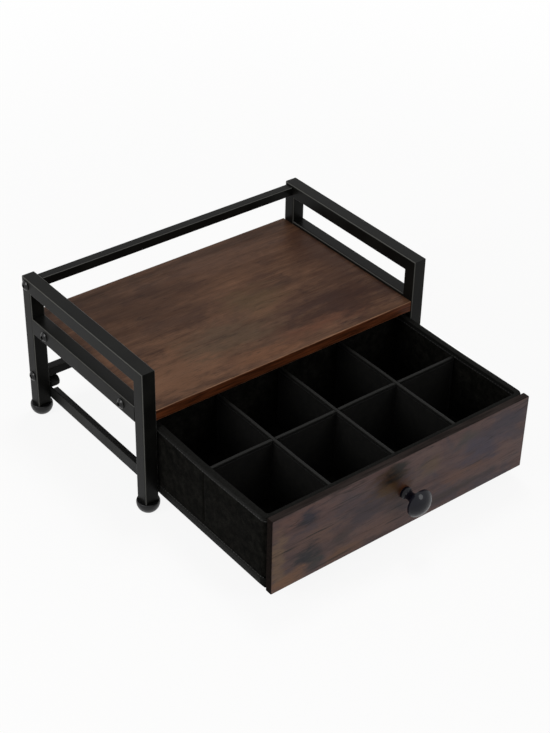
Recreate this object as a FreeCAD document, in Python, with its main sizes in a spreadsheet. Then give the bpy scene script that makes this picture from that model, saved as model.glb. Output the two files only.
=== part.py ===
import FreeCAD, Part
import math
import os
import re
import Sketcher

# Tea bag drawer box: a low stand of welded square tube that carries a wooden tabletop between two
# guard rails, with one wide fabric-walled drawer that slides on steel angles under the tabletop.
#
# Frame of reference: Z is up from the floor, X runs to the right, the drawer opens towards -Y.
# The origin is on the floor, under the middle of the whole box with its drawer pulled out.

# ---------------------------------------------------------------------------------------------
# Driving sizes in millimetres: name, value, meaning
# ---------------------------------------------------------------------------------------------

SIZES = [
    ("frame_width", 345, "over the outer faces of the side frames"),
    ("frame_depth", 211, "front face of the front posts to rear face of the rear posts"),
    ("frame_height", 163.5, "floor to the top of the guard rails"),
    ("post_size", 15, "square tube of the side frames"),
    ("post_wall", 1.2, "its wall"),
    ("post_corner", 1.5, "outer corner radius of that tube"),
    ("mid_rail_height", 102, "floor to the underside of the mid rails"),
    ("mid_rail_depth", 18, "their height; they are as wide as the posts"),
    ("rail_size", 10, "square tube of the two back rails"),
    ("rail_wall", 1, "its wall"),
    ("rail_corner", 1, "outer corner radius of that tube"),
    ("low_rail_height", 47, "floor to the middle of the lower back rail"),
    ("tabletop_thickness", 12, "board thickness"),
    ("tabletop_setback", 1.5, "board's front edge behind the posts' front faces"),
    ("tabletop_overhang", 2, "board's rear edge behind the posts' rear faces"),
    ("tabletop_gap", 0.25, "board end to the side frame"),
    ("tabletop_edge", 1.2, "eased edges of the board"),
    ("bolt_diameter", 6, "button head bolts of the tabletop and the back rails"),
    ("bolt_length", 28, "below the head"),
    ("bolt_head_diameter", 10.5, "button head"),
    ("bolt_head_height", 3.3, "button head"),
    ("bolt_head_rim", 0.7, "straight rim under the dome"),
    ("bolt_hex_width", 4, "hexagon socket across flats"),
    ("bolt_hex_depth", 2, "socket depth"),
    ("bolt_hole_gap", 0.25, "bolt shank to its hole in the tubes"),
    ("thread_gap", 0.1, "bolt shank to the threaded insert or plug"),
    ("bolt_tip_room", 4, "hole beyond the bolt's end in the board"),
    ("tabletop_bolt_inset", 37, "bolt to the front or rear plane of the frame"),
    ("insert_diameter", 9, "threaded insert in the board's end"),
    ("insert_length", 14, "its length"),
    ("insert_gap", 0.1, "insert to its hole, on the radius and behind it"),
    ("plug_length", 14, "threaded block in the end of a back rail"),
    ("plug_gap", 0.1, "block to the inside of the rail"),
    ("runner_height", 17, "floor to the underside of the drawer runners"),
    ("runner_upright", 14, "upright leg of the angle"),
    ("runner_shelf", 15, "level leg of the angle"),
    ("runner_thickness", 1.2, "sheet of the angle"),
    ("runner_bend", 1.2, "outer bend radius of the angle"),
    ("runner_front_gap", 1.5, "closed drawer front to the runner's front end"),
    ("runner_rear_setback", 3, "runner's rear end to the rear face of the frame"),
    ("stop_height", 34.5, "floor to the axis of the stop studs"),
    ("stop_stud_diameter", 6, "stud on the rear post's inner face"),
    ("stop_length", 11.5, "post face to the end of the buffer"),
    ("buffer_diameter", 12, "rubber cap on the stud"),
    ("buffer_end", 3, "rubber in front of the stud"),
    ("buffer_edge", 2.5, "rounded end of the cap"),
    ("buffer_bore_gap", 0.1, "stud to the cap's bore"),
    ("buffer_side_gap", 0.4, "upright leg of the runner to the cap"),
    ("stop_gap", 0.5, "closed drawer to the buffers"),
    ("stop_inset", 10.5, "axis of the studs to the rear face of the frame"),
    ("foot_floor", 5.5, "plastic under the post's end"),
    ("foot_rim_height", 12, "floor to the mouth of the foot"),
    ("foot_bulge_height", 9.5, "floor to the widest ring of the foot"),
    ("foot_base_diameter", 14, "flat that stands on the floor"),
    ("foot_bulge_diameter", 23.2, "widest ring"),
    ("foot_rim_diameter", 21.8, "mouth"),
    ("foot_over_radius", 4, "curve from the widest ring to the mouth"),
    ("foot_socket_gap", 0.1, "post to the foot's socket"),
    ("drawer_opening", 172, "travel from closed to fully pulled out"),
    ("drawer_side_gap", 1, "drawer wall to the runner's upright leg"),
    ("drawer_slide_gap", 0.3, "drawer underside to the runner's level leg"),
    ("panel_side_gap", 2, "drawer front to the front posts"),
    ("panel_base", 16, "floor to the underside of the drawer front"),
    ("panel_top_gap", 4.5, "drawer front to the level of the tabletop's underside"),
    ("panel_thickness", 8, "drawer front"),
    ("panel_edge", 1.2, "rounded edges of the drawer front"),
    ("box_wall", 4, "fabric over board"),
    ("box_rim_gap", 6.7, "bound rim of the box to the tabletop above it"),
    ("box_floor", 2, "fabric floor"),
    ("base_board", 3, "stiff board laid on the floor"),
    ("base_board_gap", 1, "board to the walls"),
    ("binding_thickness", 0.8, "tape sewn over the rim"),
    ("binding_height", 5, "tape down each side of the rim"),
    ("hem_thickness", 0.5, "tape sewn round the base"),
    ("hem_height", 11, "its height"),
    ("divider_thickness", 3, "fabric over board"),
    ("divider_drop", 5.5, "rim of the box to the dividers' top edges"),
    ("divider_end_gap", 0.5, "divider to the walls"),
    ("divider_slot_gap", 0.2, "divider to the sides and the end of the slot it sits in"),
    ("knob_length", 28, "knob in front of the panel"),
    ("knob_base_diameter", 12.5, "collar on the panel"),
    ("knob_base_length", 2.4, "straight part of the collar"),
    ("knob_neck_diameter", 8.6, "neck"),
    ("knob_neck_place", 7.5, "panel to the narrowest part of the neck"),
    ("knob_neck_radius", 7, "hollow between the collar and the neck"),
    ("knob_flare_radius", 13, "hollow under the head"),
    ("knob_head_diameter", 28.5, "mushroom head"),
    ("knob_rim_place", 19, "panel to the head's rim"),
    ("knob_rim_length", 2, "straight rim of the head"),
    ("knob_screw_diameter", 4, "machine screw"),
    ("knob_screw_reach", 11, "screw in the knob"),
    ("knob_screw_head_diameter", 8, "pan head sunk in the back of the panel"),
    ("knob_screw_head_height", 2.4, "pan head"),
    ("screw_sink_gap", 0.2, "pan head to its sinking"),
    ("panel_screw_diameter", 3, "screws from the drawer into its front"),
    ("panel_screw_bite", 6, "screw in the panel"),
    ("panel_screw_head_diameter", 6.5, "flat pan head"),
    ("panel_screw_head_height", 1.8, "pan head"),
    ("panel_screw_spread_x", 230, "between the two columns of screws"),
    ("panel_screw_spread_z", 40, "between the two rows of screws"),
    ("screw_hole_gap", 0.1, "screws to their holes"),
]

COLUMNS = 4          # compartments from side to side; one divider fewer
CUT_MARGIN = 1.0     # how far a cutting outline runs past what it cuts

# Places and lengths that follow from the driving sizes
PLACES = {
    "foot_overhang": "(foot_bulge_diameter - post_size) / 2",
    "foot_base_radius": "foot_base_diameter / 2",
    "foot_under_middle": "(foot_bulge_height ^ 2 + foot_bulge_diameter ^ 2 / 4 - foot_base_radius ^ 2)"
                         " / (2 * foot_bulge_height)",
    "foot_under_radius": "sqrt(foot_under_middle ^ 2 + foot_base_radius ^ 2)",
    "front_y": "(drawer_opening + knob_length - frame_depth - foot_overhang) / 2",
    "back_y": "front_y + frame_depth",
    "middle_y": "front_y + frame_depth / 2",
    "post_x": "(frame_width - post_size) / 2",
    "post_face_x": "frame_width / 2 - post_size",
    "front_post_y": "front_y + post_size / 2",
    "rear_post_y": "back_y - post_size / 2",
    "post_length": "frame_height - foot_floor",
    "top_rail_z": "frame_height - post_size / 2",
    "tabletop_width": "2 * (post_face_x - tabletop_gap)",
    "tabletop_depth": "frame_depth - tabletop_setback + tabletop_overhang",
    "tabletop_z": "mid_rail_height + mid_rail_depth / 2",
    "tabletop_base": "tabletop_z - tabletop_thickness / 2",
    "bolt_hole_diameter": "bolt_diameter + 2 * bolt_hole_gap",
    "thread_diameter": "bolt_diameter + 2 * thread_gap",
    "tabletop_bolt_y": "frame_depth / 2 - tabletop_bolt_inset",
    "plug_size": "rail_size - 2 * rail_wall - 2 * plug_gap",
    "runner_front_y": "front_y + panel_thickness + runner_front_gap",
    "runner_rear_y": "back_y - runner_rear_setback",
    "panel_front_y": "front_y - drawer_opening",
    "panel_back_y": "panel_front_y + panel_thickness",
    "panel_width": "2 * (post_face_x - panel_side_gap)",
    "panel_height": "tabletop_base - panel_top_gap - panel_base",
    "panel_z": "panel_base + panel_height / 2",
    "stop_y": "back_y - stop_inset",
    "box_front_y": "panel_back_y + binding_thickness",
    "box_depth": "stop_y - buffer_diameter / 2 - stop_gap - hem_thickness - drawer_opening - box_front_y",
    "box_back_y": "box_front_y + box_depth",
    "box_middle_y": "box_front_y + box_depth / 2",
    "box_base_z": "runner_height + runner_thickness + drawer_slide_gap",
    "box_rim_z": "tabletop_base - box_rim_gap - binding_thickness",
    "box_height": "box_rim_z - box_base_z",
    "box_width": "2 * (post_face_x - runner_thickness - drawer_side_gap)",
    "inner_width": "box_width - 2 * box_wall",
    "inner_depth": "box_depth - 2 * box_wall",
    "board_top_z": "box_base_z + box_floor + base_board",
    "divider_height": "box_rim_z - divider_drop - board_top_z",
    "column_pitch": "inner_width / columns",
    "slot_width": "divider_thickness + 2 * divider_slot_gap",
    "slot_depth": "divider_height / 2 + divider_slot_gap",
}

# ---------------------------------------------------------------------------------------------
# Document, spreadsheet and expressions
# ---------------------------------------------------------------------------------------------

doc = FreeCAD.newDocument("tea_bag_drawer_box")
sheet = doc.addObject("Spreadsheet::Sheet", "Sizes")
for row, (alias, number, meaning) in enumerate(SIZES, start=1):
    sheet.set(f"A{row}", alias)
    sheet.set(f"B{row}", str(number))
    sheet.set(f"C{row}", meaning)
    sheet.setAlias(f"B{row}", alias)
doc.recompute()

ALIASES = {alias for alias, number, meaning in SIZES}


def expression(text):
    """A size, place or sum of them as an expression on the spreadsheet's cells."""
    def named(match):
        word = match.group(0)
        if word == "columns":
            return str(COLUMNS)
        if word in PLACES:
            return "(" + expression(PLACES[word]) + ")"
        return "Sizes." + word if word in ALIASES else word
    return re.sub(r"[a-z_]+", named, str(text))


def size(text):
    """The value of such an expression now, in millimetres."""
    return float(sheet.evalExpression(expression(text)))


# ---------------------------------------------------------------------------------------------
# Bodies, sketches and features
# ---------------------------------------------------------------------------------------------

nodes = []


def new_body(label, x="0", y="0", z="0"):
    """A named piece whose own origin stands at x, y, z."""
    body = doc.addObject("PartDesign::Body", label)
    body.Label = label
    for axis, text in zip("xyz", (x, y, z)):
        body.setExpression("Placement.Base." + axis, expression(text))
    nodes.append(body)
    return body


def datum(body, role):
    return next(item for item in body.Origin.OriginFeatures if item.Role == role)


def new_sketch(body, plane, offset="0"):
    """A sketch on one of the body's own origin planes, moved along the plane's normal."""
    sketch = body.newObject("Sketcher::SketchObject", body.Label + "_sketch")
    sketch.AttachmentSupport = (datum(body, plane + "_Plane"), [""])
    sketch.MapMode = "FlatFace"
    sketch.setExpression("AttachmentOffset.Base.z", expression(offset))
    return sketch


def constrain(sketch, kind, name, text, *where):
    index = sketch.addConstraint(Sketcher.Constraint(kind, *where, size(text)))
    sketch.renameConstraint(index, name)
    sketch.setExpression("Constraints." + name, expression(text))


def arc_between(start, end, radius, turn):
    """Arc from start to end; turn is 1 for counter-clockwise and -1 for clockwise."""
    chord = end - start
    height = math.sqrt(max(radius ** 2 - (chord.Length / 2) ** 2, 0))
    normal = FreeCAD.Vector(-chord.y, chord.x, 0).normalize() * turn
    centre = start + chord * 0.5 + normal * height
    middle = centre - normal * radius
    return Part.Arc(start, middle, end) if turn > 0 else Part.Arc(end, middle, start)


def add_loop(sketch, corners, arcs=None):
    """A closed loop through the corners. arcs gives {side: (radius, turn)} for sides that curve."""
    points = [FreeCAD.Vector(size(x), size(y), 0) for x, y in corners]
    first = sketch.GeometryCount
    starts = []
    for side, start in enumerate(points):
        end = points[(side + 1) % len(points)]
        if arcs and side in arcs:
            radius, turn = arcs[side]
            index = sketch.addGeometry(arc_between(start, end, size(radius), turn), False)
            constrain(sketch, "Radius", f"radius{index}", radius, index)
        else:
            index = sketch.addGeometry(Part.LineSegment(start, end), False)
        distances = [(sketch.getPoint(index, point) - start).Length for point in (1, 2)]
        starts.append(1 if distances[0] < distances[1] else 2)
    for side, (x, y) in enumerate(corners):
        index = first + side
        after = (side + 1) % len(points)
        end_point = 3 - starts[side]
        joint = Sketcher.Constraint("Coincident", index, end_point, first + after, starts[after])
        sketch.addConstraint(joint)
        constrain(sketch, "DistanceX", f"x{index}", x, -1, 1, index, starts[side])
        constrain(sketch, "DistanceY", f"y{index}", y, -1, 1, index, starts[side])


def outline(body, plane, corners, arcs=None, offset="0"):
    sketch = new_sketch(body, plane, offset)
    add_loop(sketch, corners, arcs)
    return sketch


def box_corners(width, height, x="0", y="0"):
    """Corners of a rectangle about the point x, y of the plane."""
    low_x, high_x = (f"{x} {sign} ({width}) / 2" for sign in "-+")
    low_y, high_y = (f"{y} {sign} ({height}) / 2" for sign in "-+")
    return [(low_x, low_y), (high_x, low_y), (high_x, high_y), (low_x, high_y)]


def rectangle(body, plane, width, height, x="0", y="0", offset="0"):
    return outline(body, plane, box_corners(width, height, x, y), offset=offset)


def rounded_square(body, plane, width, corner, offset="0"):
    """A square with quarter-round corners about the body's own axis."""
    half = f"({width}) / 2"
    short = f"({half} - {corner})"
    corners = [(short, f"-{half}"), (half, f"-{short}"), (half, short), (short, half),
               (f"-{short}", half), (f"-{half}", short), (f"-{half}", f"-{short}"), (f"-{short}", f"-{half}")]
    return outline(body, plane, corners, {side: (corner, 1) for side in (0, 2, 4, 6)}, offset)


def ring(body, outer, inner, offset="0"):
    """Two level rectangles, one inside the other, each given as width and depth."""
    sketch = new_sketch(body, "XY", offset)
    add_loop(sketch, box_corners(*outer))
    add_loop(sketch, box_corners(*inner))
    return sketch


def circles(body, plane, diameter, centres, offset="0"):
    """Equal circles about the given points of the plane."""
    sketch = new_sketch(body, plane, offset)
    for index, (x, y) in enumerate(centres):
        centre = FreeCAD.Vector(size(x), size(y), 0)
        sketch.addGeometry(Part.Circle(centre, FreeCAD.Vector(0, 0, 1), size(diameter) / 2), False)
        constrain(sketch, "Diameter", f"diameter{index}", diameter, index)
        constrain(sketch, "DistanceX", f"x{index}", x, -1, 1, index, 3)
        constrain(sketch, "DistanceY", f"y{index}", y, -1, 1, index, 3)
    return sketch


def pad(body, sketch, length, symmetric=False, reverse=False):
    feature = body.newObject("PartDesign::Pad", body.Label + "_pad")
    feature.Profile = sketch
    feature.SideType = "Symmetric" if symmetric else "One side"
    feature.Reversed = reverse
    feature.setExpression("Length", expression(length))
    doc.recompute()
    return feature


def pocket(body, sketch, length=None, reverse=False):
    """A pocket of the given length, or right through both ways."""
    before = body.Shape.Volume
    feature = body.newObject("PartDesign::Pocket", body.Label + "_pocket")
    feature.Profile = sketch
    feature.Reversed = reverse
    if length is None:
        feature.SideType = "Symmetric"
        feature.Type = "ThroughAll"
    else:
        feature.SideType = "One side"
        feature.Type = "Length"
        feature.setExpression("Length", expression(length))
    doc.recompute()
    if body.Shape.Volume >= before:
        raise RuntimeError(f"{feature.Label} cuts nothing")
    return feature


def revolve(body, sketch, axis):
    """A full turn about the sketch's H_Axis or V_Axis."""
    feature = body.newObject("PartDesign::Revolution", body.Label + "_turned")
    feature.Profile = sketch
    feature.ReferenceAxis = (sketch, [axis])
    feature.Angle = 360
    doc.recompute()
    return feature


def fillet(body, base, edges, radius):
    feature = body.newObject("PartDesign::Fillet", body.Label + "_fillet")
    feature.Base = (base, edges)
    feature.setExpression("Radius", expression(radius))
    doc.recompute()
    return feature


def straight_edges(feature, axis):
    """Names of the edges that run along x, y or z."""
    found = []
    for index, edge in enumerate(feature.Shape.Edges, start=1):
        span = edge.BoundBox
        lengths = {"x": span.XLength, "y": span.YLength, "z": span.ZLength}
        if lengths[axis] > 0.99 * edge.Length:
            found.append(f"Edge{index}")
    return found


def all_edges(feature):
    return [f"Edge{index}" for index in range(1, len(feature.Shape.Edges) + 1)]


def mirrored(body, originals, plane):
    feature = body.newObject("PartDesign::Mirrored", body.Label + "_mirrored")
    feature.Originals = originals
    feature.MirrorPlane = (datum(body, plane + "_Plane"), [""])
    body.Tip = feature
    doc.recompute()
    return feature


def repeated(body, originals, steps, mirror=None):
    """Copies along the axes in steps, each (axis, whole distance, copies), then mirrored in a plane."""
    body.AllowCompound = True
    feature = body.newObject("PartDesign::MultiTransform", body.Label + "_repeated")
    rows = []
    for axis, distance, copies in steps:
        row = body.newObject("PartDesign::LinearPattern", body.Label + "_row")
        row.Direction = (datum(body, axis.strip("-") + "_Axis"), [""])
        row.Reversed = axis.startswith("-")
        row.Occurrences = copies
        row.setExpression("Length", expression(distance))
        rows.append(row)
    if mirror:
        other_side = body.newObject("PartDesign::Mirrored", body.Label + "_other_side")
        other_side.MirrorPlane = (datum(body, mirror + "_Plane"), [""])
        rows.append(other_side)
    feature.Originals = originals
    feature.Transformations = rows
    body.Tip = feature
    doc.recompute()
    return feature


def side_name(side):
    return "left" if side < 0 else "right"


def dome_radius(reach, rise):
    """Radius of the ball that rises by rise from a circle of radius reach to its own top."""
    return f"(({reach}) ^ 2 + ({rise}) ^ 2) / (2 * ({rise}))"


# ---------------------------------------------------------------------------------------------
# Side frames: posts, guard rails and mid rails of square tube
# ---------------------------------------------------------------------------------------------

ALONG = {"X": ("YZ", "x"), "Y": ("XZ", "y"), "Z": ("XY", "z")}


def steel_tube(label, axis, length, width, height, wall, corner, place):
    """A hollow square or oblong tube about its own middle, along X, Y or Z."""
    plane, direction = ALONG[axis]
    body = new_body(label, *place)
    bar = pad(body, rectangle(body, plane, width, height), length, symmetric=True)
    fillet(body, bar, straight_edges(bar, direction), corner)
    pocket(body, rectangle(body, plane, f"{width} - 2 * {wall}", f"{height} - 2 * {wall}"))
    return body


def post(side, end):
    """end is -1 for the front post and 1 for the rear post."""
    name = side_name(side) + ("_front_post" if end < 0 else "_rear_post")
    place_y = "front_post_y" if end < 0 else "rear_post_y"
    place = (f"{side} * post_x", place_y, "foot_floor + post_length / 2")
    body = steel_tube(name, "Z", "post_length", "post_size", "post_size", "post_wall", "post_corner", place)
    # the mitre that meets the guard rail, high on the outside of the frame
    reach = f"(post_size / 2 + {CUT_MARGIN})"
    high = f"post_length / 2 + {CUT_MARGIN}"
    low = f"post_length / 2 - post_size - {CUT_MARGIN}"
    pocket(body, outline(body, "YZ", [(f"{end} * {reach}", high), (f"{-end} * {reach}", low),
                                      (f"{-end} * {reach}", high)]))
    if end > 0:
        middle = "foot_floor + post_length / 2"
        heights = [f"top_rail_z - ({middle})", f"low_rail_height - ({middle})"]
        pocket(body, circles(body, "YZ", "bolt_hole_diameter", [("0", height) for height in heights]))
    return body


def top_rail(side):
    """Guard rail, mitred to the posts at both ends."""
    place = (f"{side} * post_x", "middle_y", "top_rail_z")
    body = steel_tube(side_name(side) + "_top_rail", "Y", "frame_depth",
                      "post_size", "post_size", "post_wall", "post_corner", place)
    end = f"-frame_depth / 2 - {CUT_MARGIN}"
    inner = f"-frame_depth / 2 + post_size + {CUT_MARGIN}"
    reach = f"(post_size / 2 + {CUT_MARGIN})"
    mitre = pocket(body, outline(body, "YZ", [(end, reach), (end, "-" + reach), (inner, "-" + reach)]))
    mirrored(body, [mitre], "XZ")
    pocket(body, circles(body, "YZ", "bolt_hole_diameter", [("frame_depth / 2 - post_size / 2", "0")]))
    return body


def mid_rail(side):
    """Rail between the posts that the tabletop is bolted to."""
    place = (f"{side} * post_x", "middle_y", "tabletop_z")
    body = steel_tube(side_name(side) + "_mid_rail", "Y", "frame_depth - 2 * post_size",
                      "post_size", "mid_rail_depth", "post_wall", "post_corner", place)
    pocket(body, circles(body, "YZ", "bolt_hole_diameter",
                         [("-tabletop_bolt_y", "0"), ("tabletop_bolt_y", "0")]))
    return body


# ---------------------------------------------------------------------------------------------
# Back rails and the bolts that hold them
# ---------------------------------------------------------------------------------------------

def back_rail(label, height):
    return steel_tube(label, "X", "2 * post_face_x", "rail_size", "rail_size", "rail_wall", "rail_corner",
                      ("0", "rear_post_y", height))


def rail_end_plugs():
    """Threaded blocks in the four ends of the back rails."""
    body = new_body("rail_end_plugs", "0", "rear_post_y", "top_rail_z")
    face = "post_face_x"
    square = rectangle(body, "YZ", "plug_size", "plug_size", offset=face)
    block = pad(body, square, "plug_length", reverse=True)
    bore = pocket(body, circles(body, "YZ", "thread_diameter", [("0", "0")], offset=face), "plug_length")
    repeated(body, [block, bore], [("-Z", "top_rail_z - low_rail_height", 2)], mirror="YZ")
    return body


def button_head_bolts(label, place, steps):
    """Socket button head bolts that enter both side frames from outside, copied in steps."""
    body = new_body(label, *place)
    face = "frame_width / 2"
    profile = [(f"{face} - bolt_length", "0"), (f"{face} - bolt_length", "bolt_diameter / 2"),
               (face, "bolt_diameter / 2"), (face, "bolt_head_diameter / 2"),
               (f"{face} + bolt_head_rim", "bolt_head_diameter / 2"),
               (f"{face} + bolt_head_height", "0")]
    dome = dome_radius("bolt_head_diameter / 2", "bolt_head_height - bolt_head_rim")
    turned = revolve(body, outline(body, "XY", profile, arcs={4: (dome, -1)}), "H_Axis")
    point = "bolt_hex_width / sqrt(3)"
    flat = "bolt_hex_width / 2"
    hexagon = [(point, "0"), (f"{point} / 2", flat), (f"-{point} / 2", flat),
               (f"-{point}", "0"), (f"-{point} / 2", f"-{flat}"), (f"{point} / 2", f"-{flat}")]
    top = f"{face} + bolt_head_height"
    socket = pocket(body, outline(body, "YZ", hexagon, offset=top), "bolt_hex_depth")
    repeated(body, [turned, socket], steps, mirror="YZ")
    return body


# ---------------------------------------------------------------------------------------------
# Tabletop
# ---------------------------------------------------------------------------------------------

def tabletop():
    body = new_body("tabletop", "0", "middle_y", "tabletop_z")
    # the board reaches further back than the frame does, and less far to the front
    outer = rectangle(body, "XY", "tabletop_width", "tabletop_depth",
                      y="(tabletop_setback + tabletop_overhang) / 2")
    board = pad(body, outer, "tabletop_thickness", symmetric=True)
    fillet(body, board, straight_edges(board, "x"), "tabletop_edge")
    ends = [("-tabletop_bolt_y", "0"), ("tabletop_bolt_y", "0")]
    bolt_room = circles(body, "YZ", "thread_diameter", ends, offset="tabletop_width / 2")
    drilled = pocket(body, bolt_room, "bolt_length - post_size + bolt_tip_room")
    mirrored(body, [drilled], "YZ")
    insert_room = circles(body, "YZ", "insert_diameter + 2 * insert_gap", ends, offset="tabletop_width / 2")
    drilled = pocket(body, insert_room, "insert_length + insert_gap")
    mirrored(body, [drilled], "YZ")
    return body


def tabletop_inserts():
    """Threaded inserts in the board's two ends."""
    body = new_body("tabletop_inserts", "0", "middle_y", "tabletop_z")
    end = "tabletop_width / 2"
    first = [("-tabletop_bolt_y", "0")]
    sleeve = pad(body, circles(body, "YZ", "insert_diameter", first, offset=end),
                 "insert_length", reverse=True)
    bore = pocket(body, circles(body, "YZ", "thread_diameter", first, offset=end), "insert_length")
    repeated(body, [sleeve, bore], [("Y", "2 * tabletop_bolt_y", 2)], mirror="YZ")
    return body


# ---------------------------------------------------------------------------------------------
# Drawer runners and stops
# ---------------------------------------------------------------------------------------------

def runner(side):
    """Bent steel angle on the inner faces of the posts; the drawer slides on its level leg."""
    body = new_body(side_name(side) + "_runner", f"{side} * post_face_x",
                    "(runner_front_y + runner_rear_y) / 2", "runner_height")
    across = f"{-side} * "
    profile = [("0", "0"), ("0", "runner_upright"), (across + "runner_thickness", "runner_upright"),
               (across + "runner_thickness", "runner_thickness"),
               (across + "runner_shelf", "runner_thickness"), (across + "runner_shelf", "0")]
    angle = pad(body, outline(body, "XZ", profile), "runner_rear_y - runner_front_y", symmetric=True)
    # the bend is the long edge on the body's own Y axis
    middles = {name: angle.Shape.getElement(name).CenterOfMass for name in straight_edges(angle, "y")}
    bend = [name for name, middle in middles.items()
            if math.hypot(middle.x, middle.z) < size("runner_thickness") / 2]
    fillet(body, angle, bend, "runner_bend")
    return body


def stop_stud(side):
    """Plain pin on the rear post's inner face, over the runner's upright leg."""
    body = new_body(side_name(side) + "_stop_stud", f"{side} * post_face_x", "stop_y", "stop_height")
    pad(body, circles(body, "YZ", "stop_stud_diameter", [("0", "0")]),
        "stop_length - buffer_end", reverse=side > 0)
    return body


def stop_buffer(side):
    """Rubber cap on the stud, which the back of the closed drawer meets."""
    body = new_body(side_name(side) + "_stop_buffer", f"{side} * post_face_x", "stop_y", "stop_height")
    near = f"{-side} * (runner_thickness + buffer_side_gap)"
    far = f"{-side} * stop_length"
    seat = f"{-side} * (stop_length - buffer_end)"
    bore = "stop_stud_diameter / 2 + buffer_bore_gap"
    outer = "buffer_diameter / 2"
    profile = [(near, bore), (near, outer), (f"{-side} * (stop_length - buffer_edge)", outer),
               (far, f"{outer} - buffer_edge"), (far, "0"), (seat, "0"), (seat, bore)]
    revolve(body, outline(body, "XY", profile, arcs={2: ("buffer_edge", side)}), "H_Axis")
    return body


# ---------------------------------------------------------------------------------------------
# Feet
# ---------------------------------------------------------------------------------------------

def foot(side, end):
    """Turned plastic cup on the post's end: a flat base that swells to a ring below the mouth."""
    name = ("front_" if end < 0 else "rear_") + side_name(side) + "_foot"
    body = new_body(name, f"{side} * post_x", "front_post_y" if end < 0 else "rear_post_y", "0")
    profile = [("0", "0"), ("foot_base_diameter / 2", "0"), ("foot_bulge_diameter / 2", "foot_bulge_height"),
               ("foot_rim_diameter / 2", "foot_rim_height"), ("0", "foot_rim_height")]
    revolve(body, outline(body, "XZ", profile,
                          arcs={1: ("foot_under_radius", 1), 2: ("foot_over_radius", 1)}), "V_Axis")
    socket = rounded_square(body, "XY", "post_size + 2 * foot_socket_gap", "post_corner",
                            offset="foot_rim_height")
    pocket(body, socket, "foot_rim_height - foot_floor")
    return body


# ---------------------------------------------------------------------------------------------
# Drawer front and knob
# ---------------------------------------------------------------------------------------------

PANEL_SCREW_PLACES = [(f"{side} * panel_screw_spread_x / 2", f"{level} * panel_screw_spread_z / 2")
                      for side in (-1, 1) for level in (-1, 1)]


def front_panel():
    body = new_body("drawer_front_panel", "0", "panel_front_y", "panel_z")
    board = pad(body, rectangle(body, "XZ", "panel_width", "panel_height"), "panel_thickness", reverse=True)
    fillet(body, board, all_edges(board), "panel_edge")
    pocket(body, circles(body, "XZ", "knob_screw_diameter + 2 * screw_hole_gap", [("0", "0")]))
    # a plane parallel to XZ is moved towards the back by a negative offset, because its normal is -Y
    back = "-panel_thickness"
    sinking = circles(body, "XZ", "knob_screw_head_diameter + 2 * screw_sink_gap", [("0", "0")], offset=back)
    pocket(body, sinking, "knob_screw_head_height + screw_sink_gap", reverse=True)
    pilots = circles(body, "XZ", "panel_screw_diameter + 2 * screw_hole_gap", PANEL_SCREW_PLACES, offset=back)
    pocket(body, pilots, "panel_screw_bite + screw_hole_gap", reverse=True)
    return body


def knob():
    """Turned mushroom knob: collar, hollowed neck and domed head, bored for its screw."""
    body = new_body("drawer_knob", "0", "panel_front_y", "panel_z")
    bore = "knob_screw_diameter / 2 + screw_hole_gap"
    depth = "knob_screw_reach + screw_hole_gap"
    profile = [(bore, "0"), ("knob_base_diameter / 2", "0"),
               ("knob_base_diameter / 2", "-knob_base_length"),
               ("knob_neck_diameter / 2", "-knob_neck_place"),
               ("knob_head_diameter / 2", "-knob_rim_place"),
               ("knob_head_diameter / 2", "-knob_rim_place - knob_rim_length"),
               ("0", "-knob_length"), ("0", "-(" + depth + ")"), (bore, "-(" + depth + ")")]
    dome = dome_radius("knob_head_diameter / 2", "knob_length - knob_rim_place - knob_rim_length")
    curves = {2: ("knob_neck_radius", 1), 3: ("knob_flare_radius", 1), 5: (dome, -1)}
    revolve(body, outline(body, "XY", profile, arcs=curves), "V_Axis")
    return body


def turned_screw(body, base, tip, radius, head_radius, head_height):
    """A screw about the Y axis: base is the seat of its head, tip the end of its shank."""
    top = f"{base} + {head_height}"
    profile = [("0", top), (head_radius, top), (head_radius, base), (radius, base), (radius, tip), ("0", tip)]
    return revolve(body, outline(body, "XY", profile), "V_Axis")


def knob_screw():
    body = new_body("knob_screw", "0", "panel_front_y", "panel_z")
    turned_screw(body, "panel_thickness - knob_screw_head_height - screw_sink_gap", "-knob_screw_reach",
                 "knob_screw_diameter / 2", "knob_screw_head_diameter / 2", "knob_screw_head_height")
    return body


def panel_screws():
    """Screws through the fabric box's front wall into the wooden front."""
    body = new_body("panel_screws", "-panel_screw_spread_x / 2", "panel_back_y",
                    "panel_z - panel_screw_spread_z / 2")
    turned = turned_screw(body, "binding_thickness + box_wall", "-panel_screw_bite",
                          "panel_screw_diameter / 2", "panel_screw_head_diameter / 2",
                          "panel_screw_head_height")
    repeated(body, [turned], [("X", "panel_screw_spread_x", 2), ("Z", "panel_screw_spread_z", 2)])
    return body


# ---------------------------------------------------------------------------------------------
# Fabric drawer box
# ---------------------------------------------------------------------------------------------

def side_wall(side):
    body = new_body(f"drawer_{side_name(side)}_wall", f"{side} * (box_width - box_wall) / 2",
                    "box_middle_y", "box_base_z")
    pad(body, rectangle(body, "XY", "box_wall", "box_depth"), "box_height")
    return body


def cross_wall(label, place_y):
    """The front or back wall, between the side walls."""
    body = new_body(label, "0", place_y, "box_base_z")
    pad(body, rectangle(body, "XY", "inner_width", "box_wall"), "box_height")
    return body


def front_wall():
    body = cross_wall("drawer_front_wall", "box_front_y + box_wall / 2")
    places = [(x, f"{z} + panel_z - box_base_z") for x, z in PANEL_SCREW_PLACES]
    pocket(body, circles(body, "XZ", "panel_screw_diameter + 2 * screw_hole_gap", places))
    return body


def flat_sheet(label, width, depth, thickness, base):
    body = new_body(label, "0", "box_middle_y", base)
    pad(body, rectangle(body, "XY", width, depth), thickness)
    return body


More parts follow.
